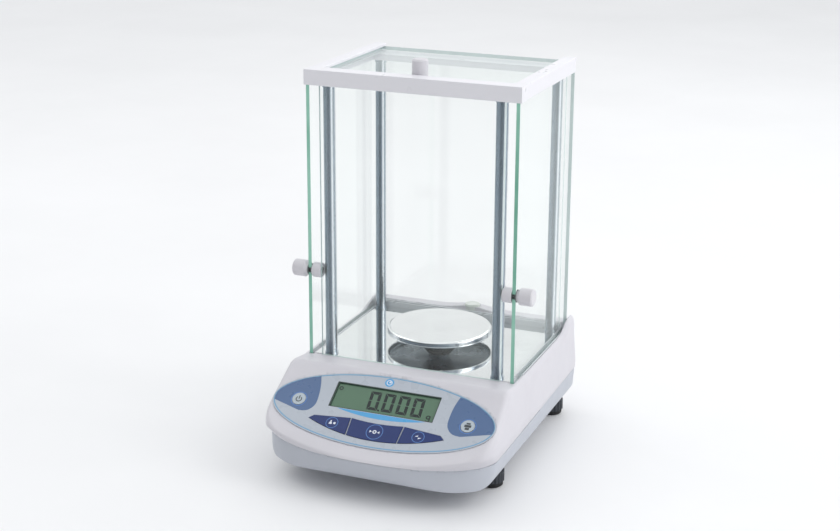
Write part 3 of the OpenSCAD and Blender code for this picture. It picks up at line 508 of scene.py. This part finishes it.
def trimmed(node, envelope, name, material, body):
    """The CAD node cut to a rounded envelope: soft edges outside, and its pockets stay."""
    envelope.transform(Matrix.Diagonal((MM, MM, MM, 1)))
    tool = bpy.data.objects.new(name + "_tool", envelope)
    bpy.context.scene.collection.objects.link(tool)
    obj = bpy.data.objects.new(name, cad_copy(node))
    bpy.context.scene.collection.objects.link(obj)
    cut = obj.modifiers.new("cut", "BOOLEAN")
    cut.operation = "INTERSECT"
    cut.solver = "MANIFOLD"
    cut.object = tool
    bpy.context.view_layer.update()
    mesh = bpy.data.meshes.new_from_object(obj.evaluated_get(bpy.context.evaluated_depsgraph_get()))
    bpy.data.objects.remove(obj)
    bpy.data.objects.remove(tool)
    mesh.transform(Matrix.Diagonal((1 / MM, 1 / MM, 1 / MM, 1)))
    mesh.materials.clear()
    piece = add_piece(name, mesh, material, body, (node,), smooth=32)
    weighted = piece.modifiers.new("normals", "WEIGHTED_NORMAL")
    weighted.keep_sharp = True
    return piece


# ---- rounded shells ----

NOSE_DEPTH = 46
NOSE_Y = FRONT_Y + NOSE_DEPTH
SEAM_POWER = 2
FACE_POWER = 3
CORNER_R = 12
FACE_Y0 = FRONT_Y + 67.5
RIM_Y = FACE_Y0 + 4.9
RIM_END_Y = FRONT_Y + 93.5
RIM_REACH = 3
SLOT_X = 89
SKIN = 0.08
FILL_Z = SEAM_FRONT_Z - 1
SEAM_RISE = 5.5                                      # seam: higher at the rear than in front
EAR_FOOT, EAR_TOP, EAR_RUN = 49, 9, 40               # ears: where they start and level off, from the rear
REAR_STEP, REAR_RIM = 15.5, 3.6                      # raised strip behind the shield
LEVEL_HUMP, LEVEL_HUMP_W = 3.4, 17                   # swelling of that strip round the spirit level
SIDE_R, FRONT_R, REAR_R = 5, 6.9, 4                  # edge radii of the upper shell
SHOULDER_Z = SEAM_FRONT_Z + 9


def outline(power):
    """(point, outward normal) round the plan outline; a higher power makes a squarer nose."""
    rows = []
    for i in range(97):
        t = math.pi + math.pi * i / 96
        c, s = math.cos(t), abs(math.sin(t))
        x = math.copysign(abs(c) ** (2 / power), c)
        y = s ** (2 / power)
        across = math.copysign(abs(x) ** (power - 1), x) / HALF_W
        normal = Vector((across, -(y ** (power - 1)) / NOSE_DEPTH)).normalized()
        rows.append((Vector((HALF_W * x, NOSE_Y - NOSE_DEPTH * y)), normal))
    for i in range(1, 40):
        rows.append((Vector((HALF_W, NOSE_Y + (REAR_Y - CORNER_R - NOSE_Y) * i / 40)), Vector((1, 0))))
    right = []
    for i in range(13):
        a = math.radians(90 * i / 12)
        normal = Vector((math.cos(a), math.sin(a)))
        right.append((Vector((HALF_W - CORNER_R, REAR_Y - CORNER_R)) + normal * CORNER_R, normal))
    rows += right
    for i in range(1, 30):
        rows.append((Vector(((HALF_W - CORNER_R) * (1 - 2 * i / 30), REAR_Y)), Vector((0, 1))))
    rows += [(Vector((-p.x, p.y)), Vector((-n.x, n.y))) for p, n in reversed(right)]
    for i in range(1, 40):
        y = REAR_Y - CORNER_R + (NOSE_Y - REAR_Y + CORNER_R) * i / 40
        rows.append((Vector((-HALF_W, y)), Vector((-1, 0))))
    return rows


def deck_height(x, y):
    """Height of the upper shell's top face."""
    z = DECK_Z
    tilt = math.atan(FACE_SLOPE)
    crest = DECK_Z + (RIM_Y - FACE_Y0) * FACE_SLOPE
    fall = math.atan((crest - DECK_Z) / (RIM_END_Y - RIM_Y))
    radius = RIM_REACH / math.tan((tilt + fall) / 2)
    start = RIM_Y - RIM_REACH * math.cos(tilt)
    centre = Vector((start + radius * math.sin(tilt),
                     crest - RIM_REACH * math.sin(tilt) - radius * math.cos(tilt)))
    if y < start:
        z = DECK_Z + (y - FACE_Y0) * FACE_SLOPE
    elif y < RIM_Y + RIM_REACH * math.cos(fall):
        z = centre.y + math.sqrt(radius ** 2 - (y - centre.x) ** 2)
    elif y < RIM_END_Y:
        z = DECK_Z + (RIM_END_Y - y) * math.tan(fall)
    if abs(x) > SLOT_X and y > REAR_Y - EAR_FOOT:
        t = min(max((REAR_Y - EAR_TOP - y) / EAR_RUN, 0), 1)
        z = DECK_Z + (EAR_TOP_Z - DECK_Z) * (1 + math.cos(math.pi * t)) / 2
    elif abs(x) <= SLOT_X and y > REAR_Y - REAR_STEP:
        z = DECK_Z + REAR_RIM + LEVEL_HUMP * math.exp(-((x / LEVEL_HUMP_W) ** 2))
    return z - SKIN


def upper_envelope():
    """Closed outer skin of the upper shell with a rounded edge all round."""
    verts, rings, inner = [], [], []
    arc_steps = 8
    for (p, n), (p_seam, n_seam) in zip(outline(FACE_POWER), outline(SEAM_POWER)):
        side = n.x ** 2
        front = max(-n.y, 0) ** 2
        r = SIDE_R * side + FRONT_R * front + REAR_R * max(n.y, 0) ** 2
        reach = r
        for _ in range(3):
            q = p - n * (reach + SKIN)
            step = q - n * 0.5
            beta = math.atan((deck_height(step.x, step.y) - deck_height(q.x, q.y)) / 0.5)
            beta = min(max(beta, 0), math.radians(35))
            reach = r * (1 - math.sin(beta)) + 3 * side
        top = deck_height(q.x, q.y)
        seam = SEAM_FRONT_Z + SEAM_RISE * (p.y - FRONT_Y) / (REAR_Y - FRONT_Y)
        centre_z = top - r * math.cos(beta)

        def inset(z):
            if z < SHOULDER_Z:
                return side * 0.2 * (SHOULDER_Z - z)
            return side * 3 * (z - SHOULDER_Z) / (DECK_Z - SHOULDER_Z)

        def rounded(z):
            rise = min(max(z - centre_z, 0), r)
            return inset(min(z, max(centre_z, seam))) + r - math.sqrt(r ** 2 - rise ** 2)

        low = seam + 1.2
        lip = rounded(seam)
        column = [(lip + 3, BASE_Z), (lip + 0.7, seam - 0.2), (lip + 0.15, seam + 0.6)]
        first = math.asin(min(max((low + 0.01 - centre_z) / r, 0), 1))
        column += [(rounded(z), z) for z in (low + max(centre_z - low, 0.01) * i / 8 for i in range(8))]
        for i in range(arc_steps + 1):
            z = centre_z + r * math.sin(first + (math.pi / 2 - beta - first) * i / arc_steps)
            column.append((rounded(z), z))
        rings.append([len(verts) + k for k in range(len(column))])
        for d, z in column:
            w = min(max((z - FILL_Z) / (SHOULDER_Z - FILL_Z), 0), 1)
            q = p_seam.lerp(p, w) - n_seam.lerp(n, w).normalized() * (d + SKIN)
            verts.append((q.x, q.y, z))
        inner.append(len(verts) - 1)
    faces = []
    for a, b in zip(rings, rings[1:] + rings[:1]):
        for k in range(len(a) - 1):
            faces.append((a[k], b[k], b[k + 1], a[k + 1]))
    faces.append([ring[0] for ring in rings])
    edge_points = [Vector(verts[i][:2]) for i in inner]
    fill = []
    x_lines = sorted({*[round(-84 + 6 * i, 2) for i in range(29)], -90.6, -87.4, 87.4, 90.6,
                      *[4.0 * i - 16 for i in range(9)]})
    y_lines = [FRONT_Y + 3 * i for i in range(1, 85)]
    border = [tuple(v) for v in edge_points]
    for x in x_lines:
        for y in y_lines:
            if inside((x, y), border, 1.6):
                fill.append(Vector((x, y)))
    count = len(edge_points)
    loop = list(range(count))
    result = delaunay_2d_cdt(edge_points + fill, [], [loop], 1, 1e-5)
    new_points, new_faces, origins = result[0], result[2], result[3]
    index = []
    for point, source in zip(new_points, origins):
        known = [s for s in source if s < count]
        if known:
            index.append(inner[known[0]])
        else:
            verts.append((point.x, point.y, deck_height(point.x, point.y)))
            index.append(len(verts) - 1)
    faces += [tuple(index[i] for i in face) for face in new_faces]
    return mesh_from("upper_envelope", verts, faces)


def inside(point, polygon, margin):
    """True if a point lies in the polygon, at least margin from its corners."""
    x, y = point
    odd = False
    for (x0, y0), (x1, y1) in zip(polygon, polygon[1:] + polygon[:1]):
        if (y0 > y) != (y1 > y) and x < (x1 - x0) * (y - y0) / (y1 - y0) + x0:
            odd = not odd
    return odd and min((x - a) ** 2 + (y - b) ** 2 for a, b in polygon) > margin ** 2


def lower_envelope():
    """Closed outer skin of the lower shell: a deep chin in front and rounded edges round the bottom."""
    rises = (38, 33, 24, 21.5, 19, 16, 13, 10.5, 8, 6, 4.4, 3.1, 2.1, 1.3, 0.7, 0.3, 0.08, 0)
    levels = [BASE_Z + SKIN + rise for rise in rises]

    def curve(z, r):
        """How far a rounded bottom edge of radius r draws in at height z."""
        rise = max(BASE_Z + r - z, 0)
        return r - math.sqrt(max(r ** 2 - rise ** 2, 0))

    verts, rings = [], []
    for p, n in outline(SEAM_POWER):
        rings.append([len(verts) + k for k in range(len(levels))])
        for z in levels:
            x_limit = HALF_W - 1 - 2 * min(max((SHOULDER_Z - z) / 18.5, 0), 1) - curve(z, 9)
            front_limit = FRONT_Y + 0.4 + 1.5 * min(max((SEAM_FRONT_Z - z) / 5.5, 0), 1) + curve(z, 13)
            rear_limit = REAR_Y - 1 - 3 * min(max((SEAM_FRONT_Z + 5.5 - z) / 18, 0), 1) - curve(z, 6)
            depths = [0.4]
            if abs(n.x) > 0.02:
                depths.append((abs(p.x) - x_limit) / abs(n.x))
            if n.y < -0.02:
                depths.append((front_limit - p.y) / -n.y)
            if n.y > 0.02:
                depths.append((p.y - rear_limit) / n.y)
            d = depths[0]
            for other in depths[1:]:
                d = (d + other + math.sqrt((d - other) ** 2 + 1)) / 2
            q = p - n * (d + SKIN)
            verts.append((q.x, q.y, z))
    faces = []
    for a, b in zip(rings, rings[1:] + rings[:1]):
        for k in range(len(a) - 1):
            faces.append((a[k], b[k], b[k + 1], a[k + 1]))
    faces.append([ring[0] for ring in rings])
    faces.append([ring[-1] for ring in rings])
    return mesh_from("lower_envelope", verts, faces)


trimmed("upper_housing", upper_envelope(), "upper_shell", HOUSING, "base")
trimmed("lower_housing", lower_envelope(), "lower_shell", HOUSING_PAINTED_SHADE, "base")


# ---- control panel print and display ----

PRINT_T = 0.04


def leaned(loop):
    """The printing leans a little to the left above the keys."""
    return [(x - 0.065 * (s + 8), s) for x, s in loop]


def printed(name, loops, material, n_base=PANEL_PROUD, body="base"):
    """A printed layer on the panel or on a key, outlines in (x, s) on the slope."""
    lift = Matrix.Translation((0, 0, n_base + PRINT_T / 2))
    return add_piece(name, flat(name, loops, PRINT_T), material, body, matrix=PANEL @ lift, smooth=0)


def oval(inset, n=120):
    points = []
    for i in range(n):
        t = 2 * math.pi * i / n
        normal = Vector((math.cos(t) / PANEL_A, math.sin(t) / PANEL_B)).normalized()
        points.append((PANEL_A * math.cos(t) - normal.x * inset, PANEL_B * math.sin(t) - normal.y * inset))
    return points


LCD_X = sum(box_mm("lcd_window"), Vector()).x / 2
LCD_W = 2 * (box_mm("lcd_window")[1].x - LCD_X)
LCD_H = 24.5
LCD_S = (sum(box_mm("lcd_window"), Vector()) / 2 - PANEL_O).dot(PANEL_S)
ROUND_KEY_X = sum(box_mm("print_key"), Vector()).x / 2
ROUND_KEY_R = (box_mm("print_key")[1].x - box_mm("print_key")[0].x) / 2
ROUND_KEY_S = -0.1
KEY_PROUD = 0.6


def zone(side):
    """Steel-blue end of the panel, from its rounded inner edge out to the border line."""
    inner_edge = smooth_line([(60.6, 25.2), (58.4, 18), (56.8, 9), (56.5, -1), (58.8, -6.4), (63, -9.7),
                              (69.3, -10.6)])
    inner_edge = [(side * x, s) for x, s in leaned([(side * x, s) for x, s in inner_edge])]
    top = max(s for x, s in inner_edge)
    border = [p for p in oval(1.5, 240) if p[0] > inner_edge[0][0] and -4.6 < p[1] < top]
    border.sort(key=lambda p: math.atan2(p[1], p[0]))
    return [(side * x, s) for x, s in inner_edge + border]


printed("border_line", [oval(0.9), oval(1.9)], LINE_BLUE)
for side, key_name in ((-1, "power"), (1, "print")):
    hole = circle(side * ROUND_KEY_X, ROUND_KEY_S, ROUND_KEY_R + 0.45)
    printed(f"zone_{key_name}", [zone(side), hole], ZONE_BLUE)
crescent = arc(0, 157.8 - 7.2, 157.8, 270 - 15.2, 270 + 15.2, 24)
printed("crescent", [[(x, s) for x, s in crescent if s < LCD_S - LCD_H / 2 - 0.1]], SKY_BLUE)
printed("emblem", [leaned(circle(-1.1, 28.4, 3.9))], SKY_BLUE)
emblem_ring = [leaned(circle(-1.1, 28.4, 2.5, 32)), leaned(circle(-1.1, 28.4, 1.8, 32))]
printed("emblem_ring", emblem_ring, PRINT_WHITE, PANEL_PROUD + PRINT_T)
printed("emblem_dot", [leaned(circle(-0.5, 28.9, 0.9, 24))], PRINT_WHITE, PANEL_PROUD + PRINT_T)


def lcd():
    """Display: a dark gasket round the opening, its border wider on the left and top as a painted shadow,
    with the green glass at its foot.
    """
    depth = 1.15
    outer = rounded_rect(LCD_X, LCD_S, LCD_W, LCD_H, 0.4)
    # The opening sits off centre, right and down, so the dark border on the left and top paints the shadow
    # inside the recess.
    hole = rounded_rect(LCD_X + 0.4, LCD_S - 0.2, LCD_W - 1.8, LCD_H - 1.4, 0.3)
    lift = Matrix.Translation((0, 0, PANEL_PROUD - 0.02 - depth / 2))
    add_piece("lcd_gasket_and_shadow", flat("lcd_gasket_and_shadow", [outer, hole], depth), LCD_FRAME_AND_SHADOW, "base",
              ("lcd_window",), PANEL @ lift, smooth=0)
    glass = [rounded_rect(LCD_X, LCD_S, LCD_W - 0.2, LCD_H - 0.2, 0.3)]
    lift = Matrix.Translation((0, 0, PANEL_PROUD - depth - 0.05))
    add_piece("lcd_face", flat("lcd_face", glass, 0.1), LCD_GREEN, "base", (), PANEL @ lift,
              smooth=0)


def segment_digit(cx, cs, w, h, t, lit):
    """Lit bars of one seven-segment digit."""
    gap, x, y = 0.25, w / 2, h / 2
    upright = [(x, y - gap), (x, 0.5), (x - t / 2, 0.2), (x - t, 0.6), (x - t, y - t - gap)]
    level = [(-x + gap, y), (x - gap, y), (x - t - gap, y - t), (-x + t + gap, y - t)]
    bars = {
        "a": level, "d": [(a, -b) for a, b in level],
        "b": upright, "c": [(a, -b) for a, b in upright],
        "f": [(-a, b) for a, b in upright], "e": [(-a, -b) for a, b in upright],
    }
    return [[(cx + a, cs + b) for a, b in bars[k]] for k in lit]


lcd()
DIGIT_PITCH = 12.5
digits = []
for i in range(4):
    digits += segment_digit(-9.3 + DIGIT_PITCH * i, LCD_S - 0.2, 9.3, 17.6, 2.6, "abcdef")
digits.append(rounded_rect(-3.5, LCD_S - 8.4, 1.7, 1.7, 0.3, 3))
LCD_N = PANEL_PROUD - 1.15
printed("lcd_digits", [leaned(loop) for loop in digits], LCD_DARK, LCD_N)
UNIT_X, UNIT_S = 38.3, LCD_S - 7.4
bowl = [circle(UNIT_X, UNIT_S, 1.9, 24), circle(UNIT_X, UNIT_S, 0.9, 24)]
printed("lcd_unit_bowl", bowl, LCD_DARK, LCD_N)
hook = [(UNIT_X + 1.9, UNIT_S + 1.5)] + arc(UNIT_X, UNIT_S - 2.6, 1.9, 360, 200, 10)
hook += arc(UNIT_X, UNIT_S - 2.6, 1.0, 200, 360, 10) + [(UNIT_X + 1.0, UNIT_S + 1.5)]
printed("lcd_unit_tail", [hook], LCD_DARK, LCD_N + PRINT_T)
mark = [circle(-40.2, LCD_S + 6.9, 1.9, 24), circle(-40.2, LCD_S + 6.9, 0.9, 24)]
printed("lcd_stable_mark", [leaned(loop) for loop in mark], LCD_DARK, LCD_N)

KEY_N = KEY_PROUD + 0.005
RINGS = (("calibrate", -36.7, -17.3, 5.2), ("tare", 0.8, -19.2, 7), ("mode", 37, -17.3, 5.2))
for key_name, x, s, r in RINGS:
    printed(f"{key_name}_ring", [circle(x, s, r), circle(x, s, r - 0.55)], RING_BLUE, KEY_N,
            f"{key_name}_key_cap")

x, s = RINGS[0][1:3]
printed("calibrate_mark", [
    [(x - 2.6, s - 1.4), (x + 0.2, s - 1.4), (x - 0.3, s + 0.7), (x - 2.1, s + 0.7)],
    circle(x - 1.2, s + 1.5, 0.7, 16), rounded_rect(x + 2.2, s - 0.1, 1.9, 1.9, 0.3),
], PRINT_WHITE, KEY_N, "calibrate_key_cap")
x, s = RINGS[1][1:3]
printed("tare_mark", [
    circle(x, s, 1.7, 24), circle(x, s, 0.8, 24), [(x - 4.2, s + 1.2), (x - 2.3, s), (x - 4.2, s - 1.2)],
    [(x + 4.2, s + 1.2), (x + 4.2, s - 1.2), (x + 2.3, s)]], PRINT_WHITE, KEY_N, "tare_key_cap")
x, s = RINGS[2][1:3]
printed("mode_mark", [
    [(x - 3.0, s + 0.2), (x - 0.3, s + 0.2), (x - 0.3, s + 1.7)],
    [(x + 3.0, s - 0.4), (x + 0.3, s - 0.4), (x + 0.3, s - 1.9)],
], PRINT_WHITE, KEY_N, "mode_key_cap")

x, s = -ROUND_KEY_X, ROUND_KEY_S
printed("power_mark", [
    arc(x, s - 0.3, 2.7, 130, 410, 22) + arc(x, s - 0.3, 1.9, 410, 130, 22),
    rounded_rect(x, s + 1.4, 0.9, 3.4, 0.3),
], PRINT_DARK, KEY_N, "power_key_cap")
x = ROUND_KEY_X
printed("print_mark", [
    rounded_rect(x, s, 5.6, 2.3, 0.4), rounded_rect(x, s + 2.3, 3.4, 1.4, 0.2),
    rounded_rect(x, s - 2.5, 3.4, 2.0, 0.2),
], PRINT_DARK, KEY_N, "print_key_cap")
for side, key_name in ((-1, "power"), (1, "print")):
    ring = [circle(side * ROUND_KEY_X, ROUND_KEY_S, ROUND_KEY_R + 1.3),
            circle(side * ROUND_KEY_X, ROUND_KEY_S, ROUND_KEY_R + 0.45)]
    printed(f"{key_name}_surround", ring, RING_BLUE, PANEL_PROUD + PRINT_T)


# ---- pan ----

def pan_profile():
    r, top, low = PAN_HIGH.x, PAN_HIGH.z, PAN_LOW.z
    edge, wall = 2.4, 1.0
    outer = [(0, top - 0.25), (r * 0.6, top - 0.25), (r - edge - 1.2, top - 0.12)]
    outer += arc(r - edge - 0.3, top - edge, edge, 90, 0, 8)
    outer += [(r - 0.3, low + 1.3)] + arc(r - 0.55, low + 0.55, 0.55, 60, -120, 8)
    inner = [(r - 0.3 - wall, low + 1.2), (r - 0.3 - wall, top - edge)]
    inner += arc(r - edge - 0.3, top - edge, edge - wall, 0, 90, 5)
    hub = [(9, top - 1.25), (9, low + 0.3), (8.7, low), (5.1, low), (5.1, top - 1.25), (0, top - 1.25)]
    return outer + inner + hub


pan_dish = add_piece("pan_dish", lathe("pan_dish", pan_profile(), 144), PAN_STEEL, "pan",
                     ("weighing_pan",), Matrix.Translation((0, PAN_CENTRE.y, 0)))
pan_dish.data.materials.append(PAN_UNDER_PAINTED_SHADE)
pan_dish.data.materials.append(PAN_RIM_PAINTED_REFLECTION)
for polygon in pan_dish.data.polygons:
    spot = polygon.center / MM - Vector((0, PAN_CENTRE.y, 0))
    # Faces under the dish get the darker steel as painted shade.
    if spot.xy.length < PAN_HIGH.x - 1.1 and spot.z < PAN_HIGH.z - 0.6:
        polygon.material_index = 1
    # Rim flanks get the painted reflection bands.
    elif abs(polygon.normal.z) < 0.5:
        polygon.material_index = 2


# ---- softened edges on carried-over CAD nodes ----

def soften(node, width, segments=3):
    """Rounds a CAD node's edges with modifiers; its own mesh stays as packed."""
    obj = NODES[node]
    weld = obj.modifiers.new("weld", "WELD")
    weld.merge_threshold = 1e-6
    bevel = obj.modifiers.new("bevel", "BEVEL")
    bevel.width = width * MM
    bevel.segments = segments
    bevel.limit_method = "ANGLE"
    bevel.angle_limit = math.radians(40)
    bevel.use_clamp_overlap = True
    weighted = obj.modifiers.new("normals", "WEIGHTED_NORMAL")
    weighted.keep_sharp = True


for node_name, width in (
    ("front_rail", 1.2), ("left_rail", 1.2), ("right_rail", 1.2), ("rear_cross_member", 0.4),
    ("left_track", 0.2), ("right_track", 0.2), ("rear_sill", 0.2), ("power_rocker", 0.4),
):
    soften(node_name, width)


# ---- stage, light and camera ----

def build_stage():
    floor_mesh = lathe("studio_floor", [(0, -0.2), (30000, -0.2)], 96)
    n = Nodes("studio_floor")
    tone = n.mix(n.remap(n.noise(3, 3), 0, 1), srgb(238, 238, 239), srgb(242, 242, 243))
    n.link(tone, n.bsdf.inputs["Base Color"])
    n.link(n.remap(n.noise(40, 3), 0.5, 0.65), n.bsdf.inputs["Roughness"])
    n.bump(n.noise(600, 2), 0.00001)
    floor_mesh.transform(Matrix.Diagonal((MM, MM, MM, 1)))
    floor_mesh.materials.append(n.material)
    obj = bpy.data.objects.new("studio_floor", floor_mesh)
    bpy.context.scene.collection.objects.link(obj)


def build_world():
    """Soft white surround that darkens towards the front, so that polished metal has something to show."""
    world = bpy.data.worlds.new("studio")
    bpy.context.scene.world = world
    world.use_nodes = True
    tree = world.node_tree
    coords = tree.nodes.new("ShaderNodeTexCoord")
    split = tree.nodes.new("ShaderNodeSeparateXYZ")
    tree.links.new(coords.outputs["Generated"], split.inputs[0])
    angle = tree.nodes.new("ShaderNodeMath")
    angle.operation = "ARCTAN2"
    tree.links.new(split.outputs["Y"], angle.inputs[0])
    tree.links.new(split.outputs["X"], angle.inputs[1])
    ramp = tree.nodes.new("ShaderNodeValToRGB")
    spread = tree.nodes.new("ShaderNodeMapRange")
    spread.inputs["From Min"].default_value = -math.pi
    spread.inputs["From Max"].default_value = math.pi
    tree.links.new(angle.outputs[0], spread.inputs["Value"])
    tree.links.new(spread.outputs["Result"], ramp.inputs["Fac"])
    stops = ((0, 0.85), (0.08, 0.55), (0.13, 0.18), (0.28, 0.2), (0.34, 0.6), (0.42, 0.95), (0.6, 1),
             (1, 0.85))
    elements = ramp.color_ramp.elements
    for position, _ in stops[1:-1]:
        elements.new(position)
    for element, (position, value) in zip(elements, stops):
        element.position = position
        element.color = (value * 0.97, value * 0.985, value, 1)
    height = tree.nodes.new("ShaderNodeMapRange")
    height.inputs["From Min"].default_value = 0.35
    height.inputs["From Max"].default_value = 0.75
    tree.links.new(split.outputs["Z"], height.inputs["Value"])
    roof = tree.nodes.new("ShaderNodeMix")
    roof.data_type = "RGBA"
    roof.inputs[7].default_value = (0.97, 0.985, 1, 1)
    tree.links.new(height.outputs["Result"], roof.inputs["Factor"])
    tree.links.new(ramp.outputs["Color"], roof.inputs[6])
    background = tree.nodes["Background"]
    tree.links.new(roof.outputs[2], background.inputs["Color"])
    background.inputs["Strength"].default_value = 1.0


def add_light(name, place, target, size, power, colour=(1, 1, 1)):
    light = bpy.data.lights.new(name, "AREA")
    light.shape = "RECTANGLE"
    light.size, light.size_y = size
    light.energy = power
    light.color = colour
    obj = bpy.data.objects.new(name, light)
    obj.location = place
    obj.rotation_euler = (Vector(target) - Vector(place)).to_track_quat("-Z", "Y").to_euler()
    bpy.context.scene.collection.objects.link(obj)


def build_camera():
    """A short telephoto view from the front right, a little above the balance."""
    place = Vector((0.45506, -1.13281, 0.54919))
    target = Vector((0, 0.058, 0.18))
    roll = math.radians(0.65)
    data = bpy.data.cameras.new("camera")
    data.sensor_width = 36
    data.lens = 66.575
    data.shift_x = -0.03521
    data.shift_y = -0.05067
    data.clip_end = 100
    obj = bpy.data.objects.new("camera", data)
    obj.location = place
    obj.rotation_mode = "QUATERNION"
    turn = (target - place).to_track_quat("-Z", "Y")
    obj.rotation_quaternion = turn @ Matrix.Rotation(roll, 3, "Z").to_quaternion()
    bpy.context.scene.collection.objects.link(obj)
    bpy.context.scene.camera = obj


build_stage()
build_world()
add_light("key", (1.6, 0.1, 1.3), (0, 0, 0.12), (1.0, 1.0), 9)
add_light("left", (-1.3, 0.2, 1.5), (0, 0, 0.12), (1.0, 1.0), 3)
add_light("back", (0.3, 1.6, 1.3), (0, 0, 0.2), (1.6, 0.8), 4)
build_camera()
bpy.context.scene.view_settings.view_transform = "Standard"

bpy.context.view_layer.update()
